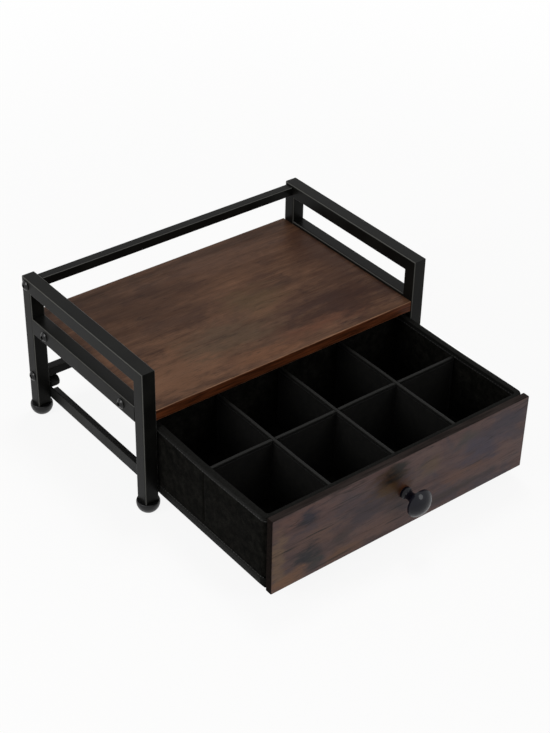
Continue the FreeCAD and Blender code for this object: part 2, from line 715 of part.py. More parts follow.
def rim_binding():
    """Tape folded over the rim of the four walls: a closed ring with a U section."""
    body = new_body("rim_binding", "0", "box_middle_y", "box_rim_z")
    outer = ("box_width + 2 * binding_thickness", "box_depth + 2 * binding_thickness")
    inner = ("inner_width - 2 * binding_thickness", "inner_depth - 2 * binding_thickness")
    pad(body, ring(body, outer, inner, offset="binding_thickness"),
        "binding_height + binding_thickness", reverse=True)
    walls = ring(body, ("box_width", "box_depth"), ("inner_width", "inner_depth"), offset="-binding_height")
    pocket(body, walls, "binding_height", reverse=True)
    return body


def base_hem():
    """Tape sewn round the foot of the four walls."""
    body = new_body("base_hem", "0", "box_middle_y", "box_base_z")
    outer = ("box_width + 2 * hem_thickness", "box_depth + 2 * hem_thickness")
    pad(body, ring(body, outer, ("box_width", "box_depth")), "hem_height")
    return body


# ---------------------------------------------------------------------------------------------
# Divider grid: the dividers are halved into each other
# ---------------------------------------------------------------------------------------------

def row_divider():
    """The divider from side to side, slotted from above for the others."""
    body = new_body("row_divider", "0", "box_middle_y", "board_top_z")
    board = rectangle(body, "XZ", "inner_width - 2 * divider_end_gap", "divider_height",
                      y="divider_height / 2")
    pad(body, board, "divider_thickness", symmetric=True)
    first = f"-column_pitch * ({COLUMNS} / 2 - 1)"
    slot = pocket(body, rectangle(body, "XZ", "slot_width", "slot_depth", x=first,
                                  y="divider_height - slot_depth / 2"))
    repeated(body, [slot], [("X", f"column_pitch * ({COLUMNS} - 2)", COLUMNS - 1)])
    return body


def column_divider(index):
    """A divider from front to back, slotted from below where it crosses the row divider."""
    body = new_body(f"column_divider_{index}", f"column_pitch * ({index} - {COLUMNS} / 2)",
                    "box_middle_y", "board_top_z")
    board = rectangle(body, "YZ", "inner_depth - 2 * divider_end_gap", "divider_height",
                      y="divider_height / 2")
    pad(body, board, "divider_thickness", symmetric=True)
    pocket(body, rectangle(body, "YZ", "slot_width", "slot_depth", y="slot_depth / 2"))
    return body


# ---------------------------------------------------------------------------------------------
# Build, check and write
# ---------------------------------------------------------------------------------------------

for side in (-1, 1):
    post(side, -1)
    post(side, 1)
    top_rail(side)
    mid_rail(side)
    runner(side)
    stop_stud(side)
    stop_buffer(side)
    foot(side, -1)
    foot(side, 1)
    side_wall(side)
back_rail("back_top_rail", "top_rail_z")
back_rail("back_lower_rail", "low_rail_height")
rail_end_plugs()
button_head_bolts("rail_bolts", ("0", "rear_post_y", "top_rail_z"),
                  [("-Z", "top_rail_z - low_rail_height", 2)])
tabletop()
tabletop_inserts()
button_head_bolts("tabletop_bolts", ("0", "middle_y - tabletop_bolt_y", "tabletop_z"),
                  [("Y", "2 * tabletop_bolt_y", 2)])
front_panel()
knob()
knob_screw()
panel_screws()
front_wall()
cross_wall("drawer_back_wall", "box_back_y - box_wall / 2")
flat_sheet("drawer_floor", "inner_width", "inner_depth", "box_floor", "box_base_z")
flat_sheet("drawer_base_board", "inner_width - 2 * base_board_gap", "inner_depth - 2 * base_board_gap",
           "base_board", "box_base_z + box_floor")
rim_binding()
base_hem()
row_divider()
for index in range(1, COLUMNS):
    column_divider(index)
doc.recompute()

for item in doc.Objects:
    if "Invalid" in item.State or "Error" in item.State:
        raise RuntimeError(f"{item.Label} is {item.State}")
for node in nodes:
    if node.Shape.isNull() or not node.Shape.isValid() or not node.Shape.Solids:
        raise RuntimeError(f"{node.Label} has no valid solid")

os.makedirs("parts", exist_ok=True)
for node in nodes:
    node.Shape.exportStep(os.path.join("parts", node.Label + ".step"))
print(f"{len(nodes)} nodes written")
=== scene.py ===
"""Looks of a tea bag drawer box: a black steel stand, a stained tabletop and one fabric drawer.

Every length is in metres in the frame's own axes: Z is up from the floor, X runs to the right and
the drawer opens towards -Y. Places are read from the frame, so a piece sits where its node is.
"""
import logging
import math
from collections.abc import Iterable, Mapping, Sequence
from dataclasses import dataclass, field
from enum import Enum

import bmesh
import bpy
from mathutils import Matrix, Vector, noise


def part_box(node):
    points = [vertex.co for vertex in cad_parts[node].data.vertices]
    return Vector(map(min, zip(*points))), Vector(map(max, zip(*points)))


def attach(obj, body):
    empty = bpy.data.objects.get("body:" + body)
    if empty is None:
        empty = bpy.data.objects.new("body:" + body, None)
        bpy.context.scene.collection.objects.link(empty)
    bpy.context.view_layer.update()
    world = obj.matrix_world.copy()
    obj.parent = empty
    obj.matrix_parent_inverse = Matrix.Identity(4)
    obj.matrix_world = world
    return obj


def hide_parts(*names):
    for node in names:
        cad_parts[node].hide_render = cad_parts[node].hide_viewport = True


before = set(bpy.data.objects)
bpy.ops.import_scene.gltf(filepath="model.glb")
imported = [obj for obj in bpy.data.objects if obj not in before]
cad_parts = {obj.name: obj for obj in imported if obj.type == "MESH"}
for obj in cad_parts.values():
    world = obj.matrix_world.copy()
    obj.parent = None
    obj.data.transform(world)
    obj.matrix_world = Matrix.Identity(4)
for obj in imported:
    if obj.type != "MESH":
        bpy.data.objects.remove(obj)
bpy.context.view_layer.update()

Colour = tuple[float, float, float, float]
WAVE_SPACING = 2.0 * math.pi / 20.0  # how far apart a Wave texture's bands across an axis are at scale 1
log = logging.getLogger("tea_bag_drawer_box")


class Body(Enum):
    """The rigid bodies that pieces ride on."""

    FRAME = "frame"
    DRAWER = "drawer"


class Axis(Enum):
    """The frame's axes, with their unit vectors as values."""

    X = (1.0, 0.0, 0.0)
    Y = (0.0, 1.0, 0.0)
    Z = (0.0, 0.0, 1.0)

    def index(self) -> int:
        """Returns the axis's place in a vector."""
        return self.value.index(1.0)


def mm(value: float) -> float:
    """Returns a length given in millimetres in metres."""
    return value / 1000.0


def per_metre(size_mm: float) -> float:
    """Returns the texture scale at which one feature is size_mm millimetres wide."""
    return 1000.0 / size_mm


def bands_per_metre(spacing_mm: float) -> float:
    """Returns the Wave texture scale that puts bands across an axis spacing_mm millimetres apart."""
    return WAVE_SPACING * per_metre(spacing_mm)


def linear(hex_colour: str) -> Colour:
    """Turns an sRGB colour into the linear one that shaders read.

    Args:
        hex_colour: Six hexadecimal digits, with or without a leading hash.

    Returns:
        Red, green, blue and an alpha of 1.
    """
    digits = hex_colour.lstrip("#")
    channels = []
    for start in (0, 2, 4):
        value = int(digits[start:start + 2], 16) / 255.0
        channels.append(value / 12.92 if value <= 0.04045 else ((value + 0.055) / 1.055) ** 2.4)
    return (channels[0], channels[1], channels[2], 1.0)


def share_between(low: float, high: float, value: float) -> float:
    """Returns how far value is on its way from low to high, from 0 to 1."""
    return min(max((value - low) / (high - low), 0.0), 1.0)


def smooth_step(low: float, high: float, value: float) -> float:
    """Returns 0 below low, 1 above high and a smooth rise between them."""
    share = share_between(low, high, value)
    return share * share * (3.0 - 2.0 * share)


def add_node(tree: bpy.types.NodeTree, kind: str, inputs: Mapping[str | int, object] | None = None,
             stops: Sequence[tuple[float, Colour]] = (), **settings: object) -> bpy.types.Node:
    """Adds a node with its settings and links.

    Args:
        tree: The material's or world's node tree.
        kind: The node's type, such as ShaderNodeTexNoise.
        inputs: Values, or output sockets to link, by the name or number of the input.
        stops: Places and colours of a colour ramp, from left to right.
        **settings: Properties of the node.

    Returns:
        The new node.
    """
    node = tree.nodes.new(kind)
    for name, value in settings.items():
        setattr(node, name, value)
    for key, value in (inputs or {}).items():
        if isinstance(value, bpy.types.NodeSocket):
            tree.links.new(value, node.inputs[key])
        else:
            node.inputs[key].default_value = value
    for index, (place, colour) in enumerate(stops):
        elements = node.color_ramp.elements
        element = elements[index] if index < len(elements) else elements.new(place)
        element.position = place
        element.color = colour
    return node


# ---------------------------------------------------------------------------------------------
# Finishes
# ---------------------------------------------------------------------------------------------

@dataclass(frozen=True)
class Finish:
    """A surface as it was made; each kind draws its own pattern in dress.

    Its roughness goes up by duller and down by shinier where the pattern says so.
    """

    name: str
    colour: str
    roughness: float
    ior: float = 1.5
    metallic: float = 0.0
    specular: float = 0.5
    coat: float = 0.0
    coat_roughness: float = 0.1
    duller: float = 0.0
    shinier: float = 0.0

    def material(self) -> bpy.types.Material:
        """Makes the material.

        Returns:
            A node material with this finish's pattern.
        """
        made = bpy.data.materials.new(self.name)
        made.use_nodes = True
        tree = made.node_tree
        shader = tree.nodes["Principled BSDF"]
        shader.inputs["Base Color"].default_value = linear(self.colour)
        shader.inputs["Roughness"].default_value = self.roughness
        shader.inputs["IOR"].default_value = self.ior
        shader.inputs["Metallic"].default_value = self.metallic
        shader.inputs["Specular IOR Level"].default_value = self.specular
        shader.inputs["Coat Weight"].default_value = self.coat
        shader.inputs["Coat Roughness"].default_value = self.coat_roughness
        self.dress(tree, shader)
        return made

    def dress(self, tree: bpy.types.NodeTree, shader: bpy.types.Node) -> None:
        """Links the finish's pattern to the shader.

        Args:
            tree: The material's node tree.
            shader: Its Principled BSDF.
        """
        raise NotImplementedError


@dataclass(frozen=True)
class PowderCoat(Finish):
    """Baked polyester powder on steel: a satin skin, dustier in patches, with a painted highlight on the
    rounded corners.
    """

    duller: float = 0.07
    shinier: float = 0.05
    dusty: str = "#161614"
    # the corner colour and its share paint a highlight on the rounded corners
    corner: str = "#6e6e6a"
    corner_highlight_share: float = 0.55
    peel_mm: float = 1.1
    patch_mm: float = 38.0
    peel_depth_mm: float = 0.012

    def dress(self, tree: bpy.types.NodeTree, shader: bpy.types.Node) -> None:
        """Draws the orange peel, the faint variation of the powder's thickness and a painted highlight on
        the corners.

        Args:
            tree: The material's node tree.
            shader: Its Principled BSDF.
        """
        place = add_node(tree, "ShaderNodeTexCoord").outputs["Object"]
        patches = add_node(tree, "ShaderNodeTexNoise", {"Vector": place, "Scale": per_metre(self.patch_mm),
                                                        "Detail": 4.0})
        peel = add_node(tree, "ShaderNodeTexNoise", {"Vector": place, "Scale": per_metre(self.peel_mm),
                                                     "Detail": 2.0})
        tint = add_node(tree, "ShaderNodeValToRGB", {"Fac": patches.outputs["Fac"]},
                        stops=[(0.35, linear(self.colour)), (0.75, linear(self.dusty))])
        gloss = add_node(tree, "ShaderNodeMapRange", {"Value": patches.outputs["Fac"], "From Min": 0.3,
                                                      "From Max": 0.7,
                                                      "To Min": self.roughness - self.shinier,
                                                      "To Max": self.roughness + self.duller})
        bump = add_node(tree, "ShaderNodeBump", {"Height": peel.outputs["Fac"], "Strength": 0.35,
                                                 "Distance": mm(self.peel_depth_mm)})
        highlighted = self.paint_corner_highlight(tree, tint.outputs["Color"])
        tree.links.new(highlighted, shader.inputs["Base Color"])
        tree.links.new(gloss.outputs["Result"], shader.inputs["Roughness"])
        tree.links.new(bump.outputs["Normal"], shader.inputs["Normal"])

    def paint_corner_highlight(self, tree: bpy.types.NodeTree, tint: bpy.types.NodeSocket) -> bpy.types.NodeSocket:
        """Paints a highlight on the rounded corners: a light line where they would catch the lamps.

        Args:
            tree: The material's node tree.
            tint: The powder's colour.

        Returns:
            The colour with its painted corner highlight.
        """
        # a rounded corner looks along no axis, so the longest part of its normal is short
        normal = add_node(tree, "ShaderNodeTexCoord").outputs["Normal"]
        size = add_node(tree, "ShaderNodeVectorMath", {0: normal}, operation="ABSOLUTE")
        parts = add_node(tree, "ShaderNodeSeparateXYZ", {0: size.outputs["Vector"]}).outputs
        level = add_node(tree, "ShaderNodeMath", {0: parts["X"], 1: parts["Y"]}, operation="MAXIMUM")
        longest = add_node(tree, "ShaderNodeMath", {0: level.outputs["Value"], 1: parts["Z"]},
                           operation="MAXIMUM")
        # painted highlight: the light corner colour is mixed in where the normal is rounded
        rounding = add_node(tree, "ShaderNodeMapRange", {"Value": longest.outputs["Value"],
                                                         "From Min": 0.97, "From Max": 0.8,
                                                         "To Max": self.corner_highlight_share})
        return add_node(tree, "ShaderNodeMix", {0: rounding.outputs["Result"], 6: tint,
                                                7: linear(self.corner)}, data_type="RGBA").outputs[2]


@dataclass(frozen=True)
class MouldedPart(Finish):
    """Injection moulded plastic or rubber: an eroded mould leaves a fine even grain."""

    duller: float = 0.06
    shinier: float = 0.06
    grain_mm: float = 0.6
    grain_depth_mm: float = 0.02
    rubbed_mm: float = 9.0
    worn: str = "#26262a"

    def dress(self, tree: bpy.types.NodeTree, shader: bpy.types.Node) -> None:
        """Draws the mould's grain and slightly shinier rubbed patches.

        Args:
            tree: The material's node tree.
            shader: Its Principled BSDF.
        """
        place = add_node(tree, "ShaderNodeTexCoord").outputs["Object"]
        grain = add_node(tree, "ShaderNodeTexVoronoi", {"Vector": place, "Scale": per_metre(self.grain_mm)})
        rubbed = add_node(tree, "ShaderNodeTexNoise", {"Vector": place, "Scale": per_metre(self.rubbed_mm),
                                                       "Detail": 5.0})
        tint = add_node(tree, "ShaderNodeValToRGB", {"Fac": rubbed.outputs["Fac"]},
                        stops=[(0.4, linear(self.colour)), (0.8, linear(self.worn))])
        gloss = add_node(tree, "ShaderNodeMapRange", {"Value": rubbed.outputs["Fac"], "From Min": 0.35,
                                                      "From Max": 0.7,
                                                      "To Min": self.roughness + self.duller,
                                                      "To Max": self.roughness - self.shinier})
        bump = add_node(tree, "ShaderNodeBump", {"Height": grain.outputs["Distance"], "Strength": 0.4,
                                                 "Distance": mm(self.grain_depth_mm)})
        tree.links.new(tint.outputs["Color"], shader.inputs["Base Color"])
        tree.links.new(gloss.outputs["Result"], shader.inputs["Roughness"])
        tree.links.new(bump.outputs["Normal"], shader.inputs["Normal"])


@dataclass(frozen=True)
class TurnedMetal(Finish):
    """Plated or oxidised small hardware: fine marks from turning and handling."""

    mark_mm: float = 0.35
    mark_depth_mm: float = 0.01
    tone_mm: float = 6.0
    shade: str = "#0a0a0a"

    def dress(self, tree: bpy.types.NodeTree, shader: bpy.types.Node) -> None:
        """Draws fine marks and a faint change of tone.

        Args:
            tree: The material's node tree.
            shader: Its Principled BSDF.
        """
        place = add_node(tree, "ShaderNodeTexCoord").outputs["Object"]
        marks = add_node(tree, "ShaderNodeTexNoise", {"Vector": place, "Scale": per_metre(self.mark_mm),
                                                      "Detail": 3.0})
        tone = add_node(tree, "ShaderNodeTexNoise", {"Vector": place, "Scale": per_metre(self.tone_mm)})
        tint = add_node(tree, "ShaderNodeValToRGB", {"Fac": tone.outputs["Fac"]},
                        stops=[(0.3, linear(self.shade)), (0.7, linear(self.colour))])
        bump = add_node(tree, "ShaderNodeBump", {"Height": marks.outputs["Fac"], "Strength": 0.15,
                                                 "Distance": mm(self.mark_depth_mm)})
        tree.links.new(tint.outputs["Color"], shader.inputs["Base Color"])
        tree.links.new(bump.outputs["Normal"], shader.inputs["Normal"])


@dataclass(frozen=True)
class Figure:
    """A figure in wood, drawn as noise: its size across the grain and how much longer it is along it.

    Its tone share is how much it counts in the wood's tone.
    """

    size_mm: float
    stretch: float
    detail: float = 4.0
    distortion: float = 0.0
    tone_share: float = 0.0


@dataclass(frozen=True)
class Patch:
    """A patch of stain about a point on a board, at shares of the board's length and width.

    Its reach is from its middle, along and across the grain.
    """

    along: float
    across: float
    reach_mm: tuple[float, float]
    colour: str
    strength: float


@dataclass(frozen=True)
class StainedBoard(Finish):
    """Rustic stained wood, its grain along X: streaks, a cloudy stain, fine splits and open pores."""

    duller: float = 0.08
    shinier: float = 0.06
    board: str = "tabletop"
    dark: str = "#2b201c"
    light: str = "#5e4a3c"
    cloud: str = "#33303a"
    cloud_share: float = 0.35
    split: str = "#140d0a"
    split_share: float = 0.7
    grain_origin: tuple[float, float, float] = (0.0, 0.0, 0.0)
    wide_face: Axis = Axis.Z
    edge_colour: str = "#3a2016"
    # the next three paint a highlight along the arrises, broken up by the streaks
    arris_highlight: str = "#8b6a55"
    arris_highlight_share: float = 0.8
    least_arris_highlight: float = 0.2
    patches: tuple[Patch, ...] = ()
    # a patch goes this deep into the board, so that it shows on the arrises too
    patch_depth_mm: float = 60.0
    ragged_mm: float = 9.0
    raggedness: float = 2.2
    wander_mm: float = 42.0
    wander_reach_mm: float = 9.0
    # noise is squeezed along X before it is drawn, and so comes out longer along the grain
    squeeze: tuple[float, float, float] = (0.3, 1.0, 1.0)
    streaks: Figure = Figure(1.9, 22.0, detail=5.0, tone_share=0.25)
    bands: Figure = Figure(8.0, 9.0, distortion=0.3, tone_share=0.3)
    growth: Figure = Figure(34.0, 3.0, detail=3.0, distortion=0.5, tone_share=0.45)
    clouds: Figure = Figure(26.0, 1.8, detail=5.0, distortion=0.6)
    split_lines: Figure = Figure(15.0, 14.0, detail=2.0)
    split_lengths: Figure = Figure(22.0, 3.0)
    pores: Figure = Figure(0.8, 14.0, detail=2.0)
    relief_mm: float = 0.1

    def drawn_out(self, tree: bpy.types.NodeTree, place: bpy.types.NodeSocket,
                  figure: Figure) -> bpy.types.NodeSocket:
        """Draws a figure of the wood as noise that is drawn out along the grain.

        Args:
            tree: The material's node tree.
            place: The surface's place.
            figure: The figure.

        Returns:
            The noise, about 0.5.
        """
        drawn = add_node(tree, "ShaderNodeMapping", {"Vector": place, "Location": self.grain_origin,
                                                     "Scale": (1.0 / figure.stretch, 1.0, 1.0)})
        return add_node(tree, "ShaderNodeTexNoise",
                        {"Vector": drawn.outputs["Vector"], "Scale": per_metre(figure.size_mm),
                         "Detail": figure.detail, "Roughness": 0.6,
                         "Distortion": figure.distortion}).outputs["Fac"]

    def dress(self, tree: bpy.types.NodeTree, shader: bpy.types.Node) -> None:
        """Draws the streaks, the cloudy stain, the patches, the splits, the pores and the edges, with a
        painted highlight on the arrises.

        Args:
            tree: The material's node tree.
            shader: Its Principled BSDF.
        """
        flat = add_node(tree, "ShaderNodeTexCoord").outputs["Object"]
        place = self.wander(tree, flat)
        fine = self.drawn_out(tree, place, self.streaks)
        coarse = self.drawn_out(tree, place, self.bands)
        broad = self.drawn_out(tree, place, self.growth)
        tone: bpy.types.NodeSocket | float = 0.0
        for layer, figure in ((coarse, self.bands), (broad, self.growth), (fine, self.streaks)):
            tone = add_node(tree, "ShaderNodeMath", {0: layer, 1: figure.tone_share, 2: tone},
                            operation="MULTIPLY_ADD").outputs["Value"]
        wood = add_node(tree, "ShaderNodeValToRGB", {"Fac": tone},
                        stops=[(0.36, linear(self.dark)), (0.5, linear(self.colour)),
                               (0.66, linear(self.light))])
        cloudy = add_node(tree, "ShaderNodeMapRange",
                          {"Value": self.drawn_out(tree, place, self.clouds), "From Min": 0.48,
                           "From Max": 0.64, "To Min": 0.0, "To Max": self.cloud_share},
                          interpolation_type="SMOOTHSTEP")
        tinted = add_node(tree, "ShaderNodeMix", {0: cloudy.outputs["Result"], 6: wood.outputs["Color"],
                                                  7: linear(self.cloud)}, data_type="RGBA").outputs[2]
        tinted = self.stain(tree, flat, tinted)
        splits = self.splits(tree, place)
        tinted = add_node(tree, "ShaderNodeMix", {0: splits, 6: tinted, 7: linear(self.split)},
                          data_type="RGBA").outputs[2]
        pores = add_node(tree, "ShaderNodeMapRange",
                         {"Value": self.drawn_out(tree, flat, self.pores), "From Min": 0.3,
                          "From Max": 0.44, "To Min": 0.55, "To Max": 1.0}).outputs["Result"]
        tinted = add_node(tree, "ShaderNodeMix", {0: 1.0, 6: tinted, 7: pores}, data_type="RGBA",
                          blend_type="MULTIPLY").outputs[2]
        relief = add_node(tree, "ShaderNodeMath", {0: tone, 1: 0.5, 2: pores}, operation="MULTIPLY_ADD")
        cut = add_node(tree, "ShaderNodeMath", {0: relief.outputs["Value"], 1: splits},
                       operation="SUBTRACT")
        bump = add_node(tree, "ShaderNodeBump", {"Height": cut.outputs["Value"], "Strength": 0.4,
                                                 "Distance": mm(self.relief_mm)})
        gloss = add_node(tree, "ShaderNodeMapRange", {"Value": coarse, "From Min": 0.35, "From Max": 0.65,
                                                      "To Min": self.roughness + self.duller,
                                                      "To Max": self.roughness - self.shinier})
        tree.links.new(self.edges(tree, fine, tinted), shader.inputs["Base Color"])
        tree.links.new(gloss.outputs["Result"], shader.inputs["Roughness"])
        tree.links.new(bump.outputs["Normal"], shader.inputs["Normal"])

    def wander(self, tree: bpy.types.NodeTree, flat: bpy.types.NodeSocket) -> bpy.types.NodeSocket:
        """Lets the grain wander, as it does round old branches.

        Args:
            tree: The material's node tree.
            flat: The surface's place.

        Returns:
            The place that the grain is drawn by.
        """
        drawn = add_node(tree, "ShaderNodeMapping", {"Vector": flat, "Scale": self.squeeze})
        stirred = add_node(tree, "ShaderNodeTexNoise", {"Vector": drawn.outputs["Vector"],
                                                        "Scale": per_metre(self.wander_mm),
                                                        "Detail": 2.0})
        reach = (mm(self.wander_reach_mm),) * 3
        return add_node(tree, "ShaderNodeVectorMath", {0: stirred.outputs["Color"], 1: reach, 2: flat},
                        operation="MULTIPLY_ADD").outputs["Vector"]

    def splits(self, tree: bpy.types.NodeTree, place: bpy.types.NodeSocket) -> bpy.types.NodeSocket:
        """Draws fine splits: thin lines along the grain, of which only stretches have opened.

        Args:
            tree: The material's node tree.
            place: The place that the grain is drawn by.

        Returns:
            The splits' share, 0 between them.
        """
        lines = self.drawn_out(tree, place, self.split_lines)
        off_middle = add_node(tree, "ShaderNodeMath", {0: lines, 1: 0.5}, operation="SUBTRACT")
        apart = add_node(tree, "ShaderNodeMath", {0: off_middle.outputs["Value"]}, operation="ABSOLUTE")
        thin = add_node(tree, "ShaderNodeMapRange", {"Value": apart.outputs["Value"], "From Min": 0.004,
                                                     "From Max": 0.014, "To Min": self.split_share,
                                                     "To Max": 0.0})
        opened = add_node(tree, "ShaderNodeMapRange",
                          {"Value": self.drawn_out(tree, place, self.split_lengths), "From Min": 0.46,
                           "From Max": 0.58})
        return add_node(tree, "ShaderNodeMath", {0: thin.outputs["Result"], 1: opened.outputs["Result"]},
                        operation="MULTIPLY").outputs["Value"]

    def spread(self, patch: Patch) -> tuple[Vector, Vector]:
        """Finds where a patch of stain lies on the board.

        Args:
            patch: The patch.

        Returns:
            Its middle, on the board's top or front, and its reach along each axis.
        """
        low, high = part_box(self.board)
        size = high - low
        along, across = mm(patch.reach_mm[0]), mm(patch.reach_mm[1])
        depth = mm(self.patch_depth_mm)
        if self.wide_face is Axis.Z:
            middle = Vector((low.x + patch.along * size.x, low.y + patch.across * size.y, high.z))
            return middle, Vector((along, across, depth))
        middle = Vector((low.x + patch.along * size.x, low.y, low.z + patch.across * size.z))
        return middle, Vector((along, depth, across))

    def stain(self, tree: bpy.types.NodeTree, place: bpy.types.NodeSocket,
              tinted: bpy.types.NodeSocket) -> bpy.types.NodeSocket:
        """Lays the stain's patches over the wood, each with a ragged border.

        Args:
            tree: The material's node tree.
            place: The surface's place.
            tinted: The wood's colour.

        Returns:
            The colour with its patches.
        """
        drawn = add_node(tree, "ShaderNodeMapping", {"Vector": place, "Scale": self.squeeze})
        ragged = add_node(tree, "ShaderNodeTexNoise", {"Vector": drawn.outputs["Vector"],
                                                       "Scale": per_metre(self.ragged_mm), "Detail": 6.0,
                                                       "Roughness": 0.65})
        torn = add_node(tree, "ShaderNodeVectorMath", {0: ragged.outputs["Color"], 1: (0.5, 0.5, 0.5)},
                        operation="SUBTRACT").outputs["Vector"]
        for patch in self.patches:
            middle, reach = self.spread(patch)
            offset = add_node(tree, "ShaderNodeVectorMath", {0: place, 1: middle},
                              operation="SUBTRACT").outputs["Vector"]
            ratio = add_node(tree, "ShaderNodeVectorMath", {0: offset, 1: reach},
                             operation="DIVIDE").outputs["Vector"]
            moved = add_node(tree, "ShaderNodeVectorMath",
                             {0: torn, 1: (self.raggedness,) * 3, 2: ratio},
                             operation="MULTIPLY_ADD").outputs["Vector"]
            distance = add_node(tree, "ShaderNodeVectorMath", {0: moved}, operation="LENGTH")
            mask = add_node(tree, "ShaderNodeMapRange",
                            {"Value": distance.outputs["Value"], "From Min": 1.0, "From Max": 0.2,
                             "To Min": 0.0, "To Max": patch.strength}, interpolation_type="SMOOTHSTEP")
            tinted = add_node(tree, "ShaderNodeMix", {0: mask.outputs["Result"], 6: tinted,
                                                      7: linear(patch.colour)}, data_type="RGBA").outputs[2]
        return tinted

    def edges(self, tree: bpy.types.NodeTree, streaks: bpy.types.NodeSocket,
              tinted: bpy.types.NodeSocket) -> bpy.types.NodeSocket:
        """Colours the board's narrow faces and rubs the arrises between them and the wide ones.

        Args:
            tree: The material's node tree.
            streaks: The grain's streaks, which break up the painted highlight on the arrises.
            tinted: The colour of the wide faces.

        Returns:
            The colour with its edges and its painted arris highlight.
        """
        normal = add_node(tree, "ShaderNodeTexCoord").outputs["Normal"]
        turned = add_node(tree, "ShaderNodeVectorMath", {0: normal, 1: self.wide_face.value},
                          operation="DOT_PRODUCT").outputs["Value"]
        facing = add_node(tree, "ShaderNodeMath", {0: turned}, operation="ABSOLUTE").outputs["Value"]
        narrow = add_node(tree, "ShaderNodeMapRange", {"Value": facing, "From Min": 0.5, "From Max": 0.25})
        soaked = add_node(tree, "ShaderNodeMapRange", {"Value": streaks, "From Min": 0.35, "From Max": 0.65,
                                                       "To Min": 0.35, "To Max": 1.7})
        edge = add_node(tree, "ShaderNodeVectorMath", {0: linear(self.edge_colour)[:3]}, operation="SCALE")
        tree.links.new(soaked.outputs["Result"], edge.inputs["Scale"])
        edged = add_node(tree, "ShaderNodeMix", {0: narrow.outputs["Result"], 6: tinted,
                                                 7: edge.outputs["Vector"]}, data_type="RGBA").outputs[2]
        rounded = add_node(tree, "ShaderNodeMapRange", {"Value": facing, "From Min": 0.97,
                                                        "From Max": 0.85})
        arris = add_node(tree, "ShaderNodeMath", {0: rounded.outputs["Result"],
                                                  1: narrow.outputs["Result"]}, operation="SUBTRACT",
                         use_clamp=True)
        # strength of the painted arris highlight, which the streaks break up
        rubbed = add_node(tree, "ShaderNodeMapRange", {"Value": streaks, "From Min": 0.35, "From Max": 0.6,
                                                       "To Min": self.least_arris_highlight * self.arris_highlight_share,
                                                       "To Max": self.arris_highlight_share})
        share = add_node(tree, "ShaderNodeMath", {0: arris.outputs["Value"], 1: rubbed.outputs["Result"]},
                         operation="MULTIPLY")
        return add_node(tree, "ShaderNodeMix", {0: share.outputs["Value"], 6: edged,
                                                7: linear(self.arris_highlight)}, data_type="RGBA").outputs[2]


@dataclass(frozen=True)
class EdgeFoil(Finish):
    """Printed paper foil ironed on a board's narrow faces: dead matt, and almost black at the two ends."""

    end_colour: str = "#15100e"
    streak_mm: float = 2.2
    # noise is squeezed along X before it is drawn, and so comes out as long streaks
    squeeze: tuple[float, float, float] = (0.07, 1.0, 1.0)

    def dress(self, tree: bpy.types.NodeTree, shader: bpy.types.Node) -> None:
        """Draws the foil's printed streaks and darkens the ends.

        Args:
            tree: The material's node tree.
            shader: Its Principled BSDF.
        """
        surface = add_node(tree, "ShaderNodeTexCoord").outputs
        across = add_node(tree, "ShaderNodeVectorMath", {0: surface["Normal"], 1: Axis.X.value},
                          operation="DOT_PRODUCT").outputs["Value"]
        end = add_node(tree, "ShaderNodeMath", {0: across}, operation="ABSOLUTE").outputs["Value"]
        ends = add_node(tree, "ShaderNodeMapRange", {"Value": end, "From Min": 0.4, "From Max": 0.8})
        tint = add_node(tree, "ShaderNodeMix", {0: ends.outputs["Result"], 6: linear(self.colour),
                                                7: linear(self.end_colour)}, data_type="RGBA").outputs[2]
        drawn = add_node(tree, "ShaderNodeMapping", {"Vector": surface["Object"], "Scale": self.squeeze})
        streaks = add_node(tree, "ShaderNodeTexNoise", {"Vector": drawn.outputs["Vector"],
                                                        "Scale": per_metre(self.streak_mm), "Detail": 4.0})
        print_depth = add_node(tree, "ShaderNodeMapRange", {"Value": streaks.outputs["Fac"],
                                                            "From Min": 0.35, "From Max": 0.65,
                                                            "To Min": 0.6, "To Max": 1.35})
        printed = add_node(tree, "ShaderNodeVectorMath", {0: tint}, operation="SCALE")
        tree.links.new(print_depth.outputs["Result"], printed.inputs["Scale"])
        tree.links.new(printed.outputs["Vector"], shader.inputs["Base Color"])


